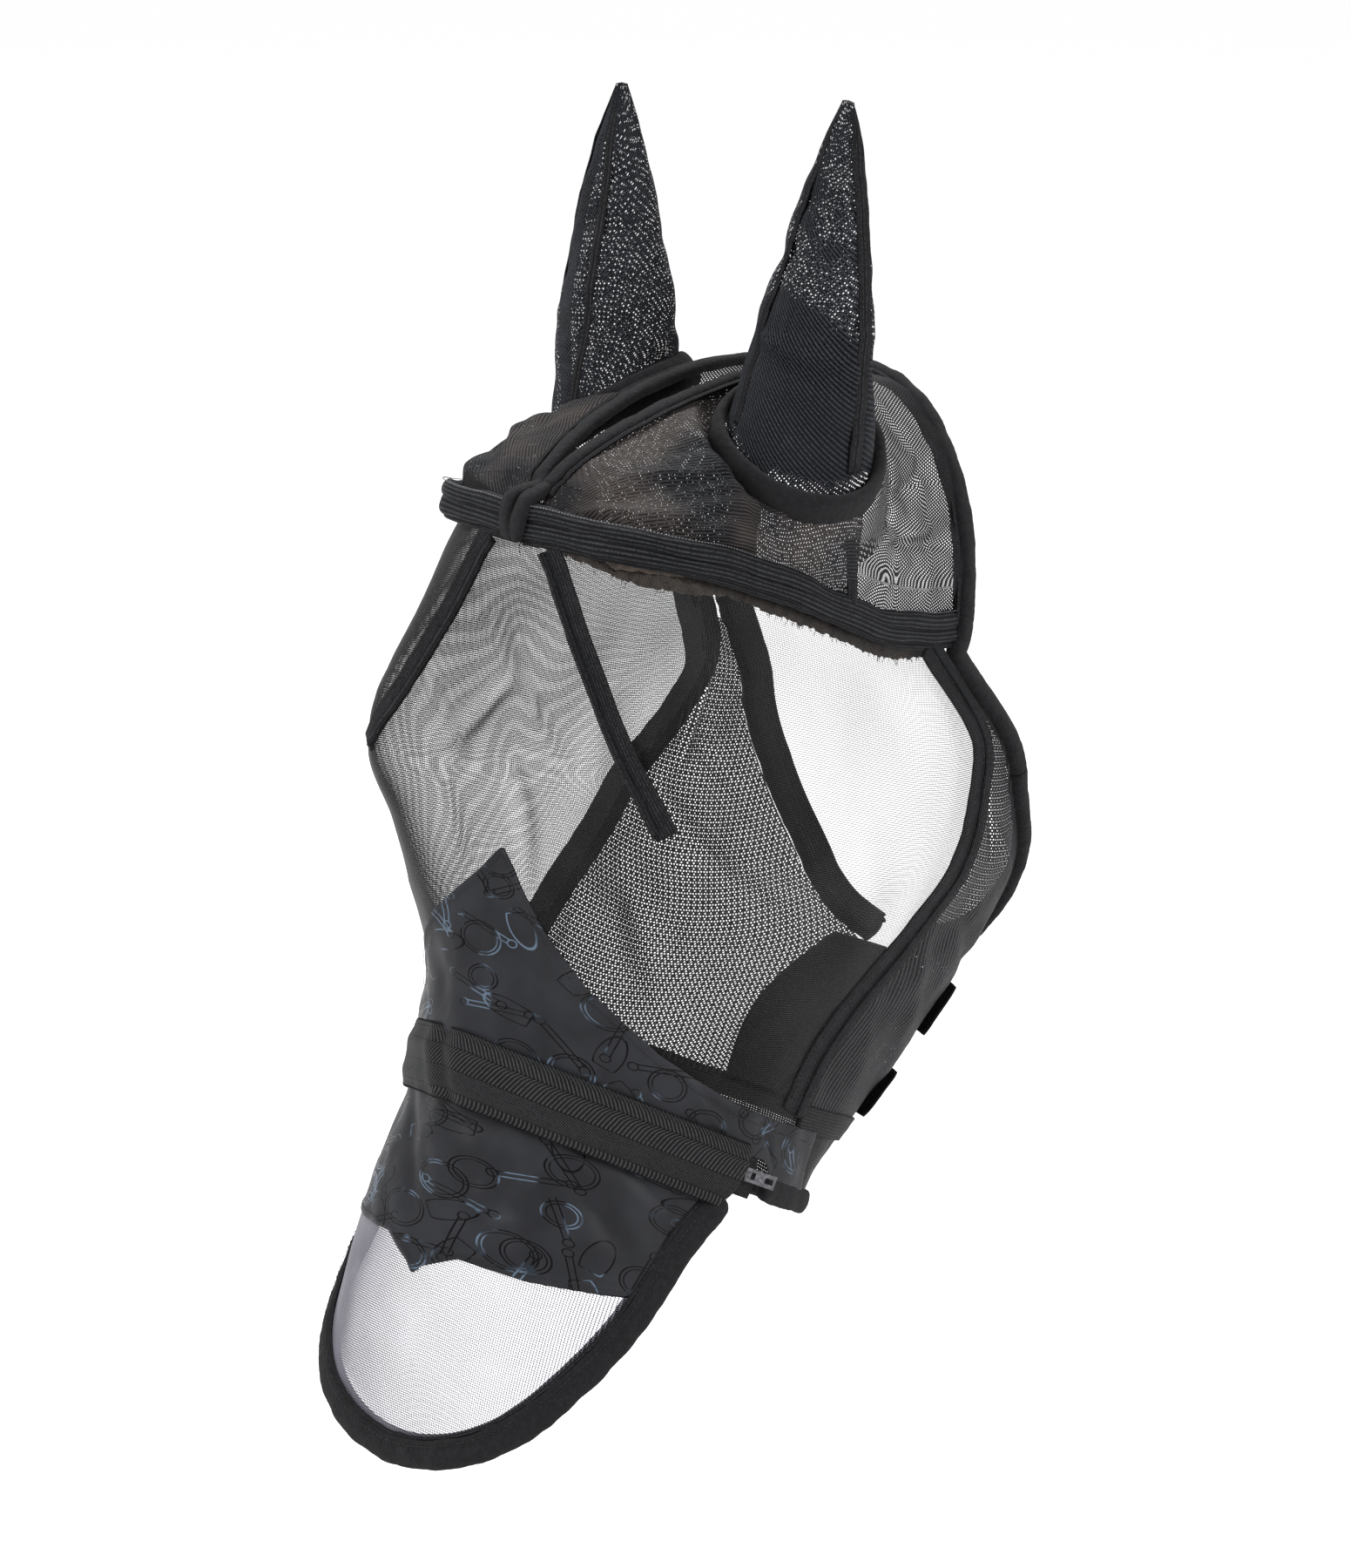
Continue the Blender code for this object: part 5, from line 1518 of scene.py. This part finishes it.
def touch_tape(kind, part, x_end, top, bottom, lift, body):
    x_start = 8.0
    points = strap_grid(x_start, x_end, top + 1, bottom - 1, lift)
    if kind == "loop":
        # its stiff free end stands off the net and shows at the edge of the jaw
        x = np.linspace(x_start, x_end, 60)[:, None]
        points = raised(points, JOWL_INSIDE, 3.5 * smooth((x - 62.0) / 26.0))
    points = raised(points, JOWL_INSIDE, 0.16 * noise(points, 1.6, 160))
    Cloth().grid(points).make("%s_tape_cloth_%s" % (kind, part), M_HOOK, body, "touch_tape",
                              "%s_tape_%s" % (kind, part), thickness=1.2)


def throat_strap(part, top, bottom, x_tab):
    """A strap from the right flap to x_tab on the left one, with its touch tapes."""
    body = "strap_%s_body" % part
    lift, x_root = 7.8, -40.0
    points = strap_grid(x_root, x_tab, top, bottom, lift, curl=0.6)
    points = raised(points, JOWL_INSIDE, 0.5 * noise(points, 18, 150))
    ob = Cloth().grid(points, arc_uv(points)[..., ::-1]).make(
        "strap_cloth_" + part, M_WEB, None, "webbing", "strap_" + part, thickness=1.5)
    middle = 0.5 * (top + bottom)
    blend(ob, jaw(middle, -38, lift), jaw(middle, -22, lift))
    thread = Cloth()
    for station in (top + 2.0, bottom - 2.0):
        places = np.linspace(6.0, x_tab - 5, 40)
        line = np.array([jaw(station, x, 8.75) for x in places])
        normals = unit(np.array([jaw(station, x, 9.5) - jaw(station, x, 8.0) for x in places]))
        thread.stitch(line, normals, step=3.2, length=2.2, radius=0.3, lift=0.1)
    thread.make("strap_stitches_" + part, M_THREAD, body, "webbing")
    touch_tape("loop", part, 88.0, top, bottom, lift=2.0, body="jowl_left_body")
    touch_tape("hook", part, x_tab - 4.0, top, bottom, lift=5.6, body=body)
    # sewn end of the strap on the right flap
    root = strap_grid(x_root, -26.0, top + 0.5, bottom - 0.5, 4.2, rows=14, columns=12)
    Cloth().grid(root).make("strap_root_" + part, M_WEB, "jowl_right_body", "webbing",
                            thickness=5.0)


# ------------------------------------------------------------------ printed trim and chin
TRIM_FOLDS = [
    (-50, 10, -20, 50, 6, -1.6), (40, 20, 90, 50, 5, -1.6), (120, 5, 150, 40, 5, 1.6),
    (-10, 20, 10, 55, 5, -1.2), (170, 6, 190, 46, 4, -2.0), (20, 30, 44, 50, 4, 1.4)]


def trim_low(angle):
    return 291.0 + 8.0 * smooth((abs(angle) - ZIP_END - 4.0) / 5.0)


def lower_trim(thread):
    rows, columns = 44, 230
    angles = np.linspace(-TRIM_END - 4, TRIM_END + 4, columns)
    tops = np.array([trim_station(angle) for angle in angles])
    spans = trim_low(angles) - tops
    full_spans = spans + 5.0 * smooth((np.abs(angles) - 91.0) / 4.0)
    points = np.array([[off(top + s * span, angle, 0.9)
                        for angle, top, span in zip(angles, tops, full_spans)]
                       for s in np.linspace(0, 1, rows)])
    i = np.linspace(0, 1, rows)[:, None]
    height = slack(points, (1.3, 30, 170), (0.7, 13, 171)) \
        + folds(angles[None] * 2.0, i * 60, TRIM_FOLDS)
    # a folded hem along the peaked top edge
    height = height + 0.55 * bell(i * spans[None] - 2.6, 2.2)
    points = raised(points, (0, 100, -270), height)
    uv = np.stack([angles[None] * 1.28 + 0 * i, i * spans[None] + tops[None]], -1)
    Cloth().grid(points, uv).make("trim_cloth", M_PRINT, MASK, "softshell", "lower_trim",
                                  thickness=1.0)
    places = [(trim_station(angle) + 5.0, angle) for angle in angles[3:-3]]
    thread.stitch(*even_run(1.4, [off(*place, 2.2) for place in places],
                            [skin_normal(*place) for place in places]),
                  step=2.9, length=1.9, radius=0.26, lift=0.5)


def chin():
    """Coarse net under the chin, its fleece, and the tape where the throat flaps end."""
    points = np.array([[skin(station, angle)
                        for angle in np.linspace(TRIM_END - 1, 361 - TRIM_END, 110)]
                       for station in np.linspace(268, 301, 26)])
    points = raised(points, (0, 60, -330), slack(points, (1.2, 22, 180), (0.6, 9, 181)))
    Cloth().grid(points).make("chin_net", M_CHIN, MASK, "coarse_mesh", "chin_gusset")
    places = [(304.5, angle) for angle in np.linspace(92, 268, 120)]
    line = even_run(1.7, [skin(*place) for place in places],
                    [skin_normal(*place) for place in places])
    roll = Cloth().sweep(*line, fleece(14.0, 10.0, 24, groove=0.3), fuzz=0.3, lump=0.8,
                         seed=185, taper=5)
    roll.make("chin_fleece", M_FLEECE, MASK, "fleece", "chin_binding")
    line = run([(268, angle) for angle in np.linspace(104, 256, 40)], lift=1.0, step=2.4)
    throat = Cloth().sweep(*line, ribbon(15.0, 1.6, ridge=0.4), lump=0.4, seed=188)
    throat.make("throat_tape", M_TAPE, MASK, "binding_tape")


# ------------------------------------------------------------------ zip
def cover_point(t, s):
    """A point of the cover webbing: t along it (-1..1), s across it (0..1)."""
    top_end, bottom_end = 84.5, 79.0     # half its run along each edge, degrees
    angle = t * (top_end + (bottom_end - top_end) * s)
    top = COVER_TOP + 7.0 * abs(t * 84) / 86.0
    bottom = COVER_TOP + COVER_WIDTH - 0.5 + 3.0 * abs(t * 80) / 86.0
    tuck = 5.0 * smooth((0.30 - s) / 0.30) + 3.2 * smooth((s - 0.72) / 0.28)
    return off(top + (bottom - top) * s, angle, COVER_GAP + 0.6 - tuck)


def zip_cover(thread):
    rows, columns = 300, 26
    points = np.array([[cover_point(t, s) for s in np.linspace(0, 1, columns)]
                       for t in np.linspace(-1, 1, rows)])
    normals = grid_normals(points, (0, 60, -330))
    t, s = np.linspace(-1, 1, rows)[:, None], np.linspace(0, 1, columns)[None]
    # a slanting dent near the middle, with a swell beside it
    slanted = t - 0.10 * (s - 0.5)
    height = slack(points, (0.8, 28, 190), (0.35, 12, 191)) \
        - 2.6 * bell(slanted + 0.06, 0.028) + 1.6 * bell(slanted + 0.13, 0.04)
    points = points + normals * height[..., None]
    Cloth().grid(points).make("zip_cover_webbing", M_HERRINGBONE, MASK, "webbing", "zip_cover",
                              thickness=1.5)
    # little loops along the edges, where the weft turns
    picots = Cloth()
    for edge, inner in ((0, 1), (columns - 1, columns - 2)):
        out = unit(points[:, edge] - points[:, inner])
        centres, outs, ups = even_run(1.55, points[:, edge], out, normals[:, edge])
        for a in range(len(centres) - 1):
            ahead = unit(centres[a + 1] - centres[a])
            arc = [centres[a] + outs[a] * (0.1 + 0.75 * math.sin(turn))
                   + ahead * (0.62 * math.cos(turn)) for turn in np.linspace(0, math.pi, 5)]
            picots.sweep(arc, ups[a], oval(0.5, 0.6, 5))
    picots.make("zip_cover_picots", M_WEB, MASK, "webbing")
    line, ups = even_run(1.5, points[:, 1] * 0.5 + points[:, 2] * 0.5, normals[:, 1])
    thread.stitch(line[4:-4], ups[4:-4], step=3.0, length=2.0, radius=0.28, lift=0.95)
    for row in (3, rows - 4):
        line, ups = even_run(1.2, points[row], normals[row])
        thread.stitch(line[1:-1], ups[1:-1], step=2.6, length=1.8, radius=0.28, lift=0.95)


def zip_tape(part, start, end, body):
    points = np.array([[skin(ZIP_STATION + shift, angle) for shift in np.linspace(start, end, 8)]
                       for angle in np.linspace(-ZIP_END, ZIP_END, 260)])
    Cloth().grid(points, arc_uv(points)[..., ::-1]).make(
        "zip_tape_cloth_" + part, M_WEB, body, "webbing", "zip_tape_" + part, thickness=1.0)


def zip_coil(part, side, body):
    """Half of the interlocked coil: one filament wound in flat loops."""
    step, coil_pitch = 0.26, 1.5
    angles = np.linspace(-ZIP_END + 0.5, ZIP_END - 0.5, 140)
    centres, normals, down = even_run(
        step, [skin(ZIP_STATION, angle) for angle in angles],
        [skin_normal(ZIP_STATION, angle) for angle in angles],
        [skin(ZIP_STATION + 1, angle) - skin(ZIP_STATION, angle) for angle in angles])
    turn = np.arange(len(centres)) * 2 * math.pi * step / coil_pitch + (0 if side > 0 else math.pi)
    across = side * (1.25 - np.cos(turn) * 1.35)
    points = centres + down * across[:, None] + normals * (np.sin(turn) * 0.85)[:, None]
    Cloth().sweep(points, normals, oval(0.62, 0.62, 6)).make(
        "zip_coil_teeth_" + part, M_COIL, body, "zip_coil", "zip_coil_" + part)


# ------------------------------------------------------------------ nose piece
NOSE_INSIDE = (0, 20, -400)
NOSE_FOLDS = [
    (-40, 5, -6, 70, 6, -2.2), (10, 4, 34, 62, 6, -2.4), (30, 0, 66, 40, 5, 2.0),
    (46, 20, 84, 64, 6, -2.2), (-80, 6, -66, 60, 6, -2.0), (0, 30, 14, 84, 5, 1.6),
    (60, 4, 90, 30, 5, -1.8)]


def nose_station(s, angle):
    """Station at share s of the way down the nose trim."""
    return NOSE_TOP + s * (nose_trim_station(angle) - NOSE_TOP)


def nose_trim(thread):
    rows, columns = 50, 150
    shares, sides = np.linspace(0, 1, rows), np.linspace(-1, 1, columns)
    points = []
    for s in shares:
        # the row ends where it meets the free edge
        limit = 80.0
        for _ in range(8):
            limit = lookup(NOSE_EDGE, nose_station(s, limit)) + 0.4
        points.append([off(nose_station(s, t * limit), t * limit, 0.6) for t in sides])
    points = np.array(points)
    normals = grid_normals(points, NOSE_INSIDE)
    i, j = shares[:, None], sides[None]
    # slack, folds and a folded hem along the lower edge
    height = slack(points, (1.5, 32, 200), (0.8, 14, 201)) + folds(j * 100, i * 90, NOSE_FOLDS) \
        + 0.5 * bell((1 - i) * 90 - 2.4, 2.0)
    points = points + normals * height[..., None]
    stations = [[nose_station(s, t * 70) for t in sides] for s in shares]
    uv = np.array([[(t * lookup(NOSE_EDGE, station) * 1.08, station)
                    for t, station in zip(sides, row)] for row in stations])
    Cloth().grid(points, uv).make("nose_trim_cloth", M_PRINT, NOSE, "softshell", "nose_trim",
                                  thickness=1.0)
    thread.stitch(*even_run(1.4, points[-3], normals[-3]),
                  step=2.9, length=1.9, radius=0.26, lift=0.7)


def nose_net():
    """Net below the trim: columns run from the trim to the free edge."""
    rows, last = 70, len(NOSE_EDGE) - 1
    corner = nose_trim_station(69) - 4
    corner_angle = lookup(NOSE_EDGE, corner)
    first = next(i for i, place in enumerate(NOSE_EDGE) if place[0] > corner)
    columns = []
    for t in np.linspace(-1, 1, 160):
        start = np.array([nose_trim_station(t * corner_angle) - 4.0, t * corner_angle])
        index = last - (last - first) * abs(t)
        i = int(index)
        part = index - i
        edge = NOSE_EDGE[i] * (1 - part) + NOSE_EDGE[min(i + 1, last)] * part
        end_angle = math.copysign(edge[1] + 0.4, t) if abs(edge[1]) > 0.01 else 0.0
        end = np.array([edge[0] + 1.5, end_angle])
        columns.append([skin(*(start + (end - start) * s)) for s in np.linspace(0, 1, rows)])
    points = np.transpose(np.array(columns), (1, 0, 2))
    s = np.linspace(0, 1, rows)[:, None]
    ease = np.clip(np.minimum(s, 1 - s) * 8, 0, 1)
    points = raised(points, NOSE_INSIDE, slack(points, (1.5, 38, 210), (0.25, 17, 211)) * ease)
    # the weave runs straight across the nose
    uv = np.stack([points[..., 0] * 1.08, -(points[..., 2] * 0.86 + points[..., 1] * 0.5)], -1)
    ob = Cloth().grid(points, uv).make("nose_net", M_NOSE, NOSE, "fine_mesh", "nose_mesh")
    outward(ob, NOSE_INSIDE)


def nose_edge_point(station, angle, gap):
    """A point gap mm outside the free edge, and the skin's normal there."""
    last = len(NOSE_EDGE) - 1
    point, normal = skin(station, angle), skin_normal(station, angle)
    k = min(range(last + 1), key=lambda i: abs(NOSE_EDGE[i][0] - station)
            + abs(NOSE_EDGE[i][1] - abs(angle)))
    before, after = NOSE_EDGE[max(k - 1, 0)], NOSE_EDGE[min(k + 1, last)]
    side = 1 if angle >= 0 else -1
    if k == last:
        ahead = np.array([-1.0, 0, 0]) * side
    else:
        ahead = unit(skin(after[0], side * after[1]) - skin(before[0], side * before[1]))
    out = np.cross(normal, ahead)
    if np.dot(out, skin(400, 0) - point) > 0:
        out = -out
    return point + out * gap, normal


def nose_binding(thread):
    places = [tuple(p) for p in NOSE_EDGE] + [(p[0], -p[1]) for p in NOSE_EDGE[:-1][::-1]]
    edge = [nose_edge_point(station, angle, 6.6) for station, angle in places]
    points, normals = even_run(1.7, *zip(*edge))
    side, _ = frames(points, normals)
    middle = len(points) // 2
    inward = np.sign(np.dot(side[middle], skin(400, 0) - points[middle]))
    roll = Cloth().sweep(points, normals,
                         fleece(18.0, 10.5, 30, groove=0.7) * np.array([inward, 1.0]),
                         fuzz=0.32, lump=0.9, seed=220, taper=6)
    roll.make("nose_fleece", M_FLEECE, NOSE, "fleece", "nose_binding")
    side = side * inward
    tapes = Cloth().sweep(points + side * 9.4 + normals * 0.6, normals, oval(2.6, 2.2, 10),
                          fuzz=0.08, lump=0.3, seed=224, taper=2)
    tapes.sweep(points + side * 3.0 - normals * 4.4, normals, ribbon(15.0, 0.9),
                lump=0.3, seed=225)
    tapes.make("nose_edge_tape", M_TAPE, NOSE, "binding_tape")
    thread.stitch((points + side * 5.6 + normals * 4.0)[4:-4], normals[4:-4],
                  step=3.4, length=2.2, radius=0.26, lift=0.2)


# ------------------------------------------------------------------ build the mask
mask_thread, trim_thread, nose_thread = Cloth(), Cloth(), Cloth()
face_net()
for side, sign in SIDES:
    dart_tape(side, sign, mask_thread)
    cheek_tape(side, sign, mask_thread)
brow, brow_normals = brow_run()
for side, sign in SIDES:
    brow_band(side, sign, brow, brow_normals, mask_thread)
brow_lining(brow, brow_normals)
for side, sign in SIDES:
    # the two panels overlap by 1 mm on each side of the seam
    crown_panel(side, sign, "front", 6.0, CROWN_SEAM + 1, rows=190, columns=190,
                material=M_KNIT, slot="ribbed_knit", seed=60, shape=front_shape)
    crown_panel(side, sign, "rear", CROWN_SEAM - 1, 284.0, rows=84, columns=96,
                material=M_COARSE, slot="coarse_mesh", seed=70, shape=rear_shape)
    crown_seam(side, sign)
    forelock_binding(side, sign)
    ear_ring(side, sign)
for side, sign in SIDES:
    ear_cloth(side, sign)
    ear_seams(side, sign)
poll_binding()
for side, sign in SIDES:
    neck_edge(side, sign, "neck", 10, FLAP_TOP + 6.5, MASK)
    neck_edge(side, sign, "jowl", FLAP_TOP + 2, 400, "jowl_%s_body" % side)
for side, sign in SIDES:
    jowl_net(side, sign)
    throat_hem(side, sign)
throat_strap("upper", top=207.0, bottom=228.0, x_tab=48.0)
throat_strap("lower", top=241.0, bottom=262.0, x_tab=54.0)
lower_trim(trim_thread)
chin()
zip_cover(trim_thread)
zip_tape("upper", -11.0, -1.6, MASK)
zip_tape("lower", 1.6, 12.5, NOSE)
zip_coil("upper", -1.0, MASK)
zip_coil("lower", 1.0, NOSE)
nose_trim(nose_thread)
nose_net()
nose_binding(nose_thread)
nose_thread.make("nose_stitches", M_THREAD, NOSE, "binding_tape")
trim_thread.make("trim_stitches", M_THREAD, MASK, "binding_tape")
# loose threads at the brow and on the nose
for line in ([(3, -3, 2), (3.5, -5, -2), (2.5, -5.5, -7), (3.2, -5, -11)],
             [(-4, -80, -398), (-2, -90, -404), (2, -93, -408)]):
    loose_thread(mask_thread, line, np.array([0, -1.0, 0]), width=0.5)
mask_thread.make("mask_stitches", M_THREAD, MASK, "binding_tape")

# metal parts, carried over from the frame
for name in ("zip_slider", "zip_pull", "zip_stop_left", "zip_stop_right"):
    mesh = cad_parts[name].data
    mesh.materials.clear()
    mesh.materials.append(M_METAL)
    for polygon in mesh.polygons:
        polygon.material_index = 0


# ------------------------------------------------------------------ floor, light, camera (m)
TARGET = Vector((0.0, -0.16413, -0.20145))    # what the camera looks at
CAMERA_TURN, CAMERA_RISE = math.radians(42), math.radians(20)
CAMERA_DISTANCE = 2.6
FLOOR_Z = -0.67                               # below the nose piece when it is off


def camera_glow(tree, gain):
    """gain for what the camera sees directly, 0 for other rays."""
    return Value(tree, tree.nodes.new("ShaderNodeLightPath").outputs["Is Camera Ray"]) * gain


def stage_floor():
    """A wide flat floor, with finer squares near the middle."""
    lines = np.geomspace(0.5, 40.0, 9)
    lines = np.concatenate([-np.geomspace(40.0, 0.5, 9), [0.0], lines])
    n = len(lines)
    verts = [(x, y, FLOOR_Z) for y in lines for x in lines]
    faces = [(i * n + j, i * n + j + 1, (i + 1) * n + j + 1, (i + 1) * n + j)
             for i in range(n - 1) for j in range(n - 1)]
    mesh = bpy.data.meshes.new("floor")
    mesh.from_pydata(verts, [], faces)
    material = bpy.data.materials.new("floor_white")
    material.use_nodes = True
    tree = material.node_tree
    inputs = tree.nodes["Principled BSDF"].inputs
    inputs["Base Color"].default_value = (0.86, 0.86, 0.865, 1)
    inputs["Roughness"].default_value = 0.9
    inputs["Specular IOR Level"].default_value = 0.1
    inputs["Emission Color"].default_value = (1, 1, 1, 1)
    tree.links.new(camera_glow(tree, 0.58).socket, inputs["Emission Strength"])
    mesh.materials.append(material)
    ob = bpy.data.objects.new("floor", mesh)
    bpy.context.scene.collection.objects.link(ob)


def studio_world():
    """White surroundings, brighter to the camera than to the cloth."""
    world = bpy.data.worlds.new("studio")
    world.use_nodes = True
    tree = world.node_tree
    background = tree.nodes["Background"]
    background.inputs[0].default_value = (1.0, 1.0, 1.0, 1)
    tree.links.new((camera_glow(tree, 0.54) + 0.46).socket, background.inputs[1])
    bpy.context.scene.world = world


def area_light(name, place, size, power):
    light = bpy.data.lights.new(name, "AREA")
    light.shape = "RECTANGLE"
    light.size, light.size_y = size
    light.energy = power
    ob = bpy.data.objects.new(name, light)
    ob.location = place
    ob.rotation_euler = (TARGET - place).to_track_quat("-Z", "Y").to_euler()
    bpy.context.scene.collection.objects.link(ob)


def camera(back, right, up):
    data = bpy.data.cameras.new("camera")
    data.sensor_width = 36.0
    data.lens = 104.0
    data.clip_end = 100
    ob = bpy.data.objects.new("camera", data)
    ob.location = TARGET + back * CAMERA_DISTANCE
    ob.rotation_euler = Matrix((tuple(right), tuple(up), tuple(back))).transposed().to_euler()
    bpy.context.scene.collection.objects.link(ob)
    bpy.context.scene.camera = ob


stage_floor()
studio_world()
# the camera's axes: back from the target, to the right, and up
back = Vector((math.sin(CAMERA_TURN) * math.cos(CAMERA_RISE),
               -math.cos(CAMERA_TURN) * math.cos(CAMERA_RISE), math.sin(CAMERA_RISE)))
right = Vector((math.cos(CAMERA_TURN), math.sin(CAMERA_TURN), 0))
up = back.cross(right)
area_light("key", TARGET + back * 1.3 - right * 1.3 + up * 1.2, size=(1.2, 1.2), power=26)
area_light("fill", TARGET + back * 1.2 + right * 1.5 + up * 0.3, size=(0.9, 1.6), power=14)
area_light("top", TARGET + up * 1.9 - back * 0.4, size=(1.6, 1.0), power=20)
camera(back, right, up)
view = bpy.context.scene.view_settings
view.view_transform = "Standard"
view.look = "None"
view.exposure = 0.0
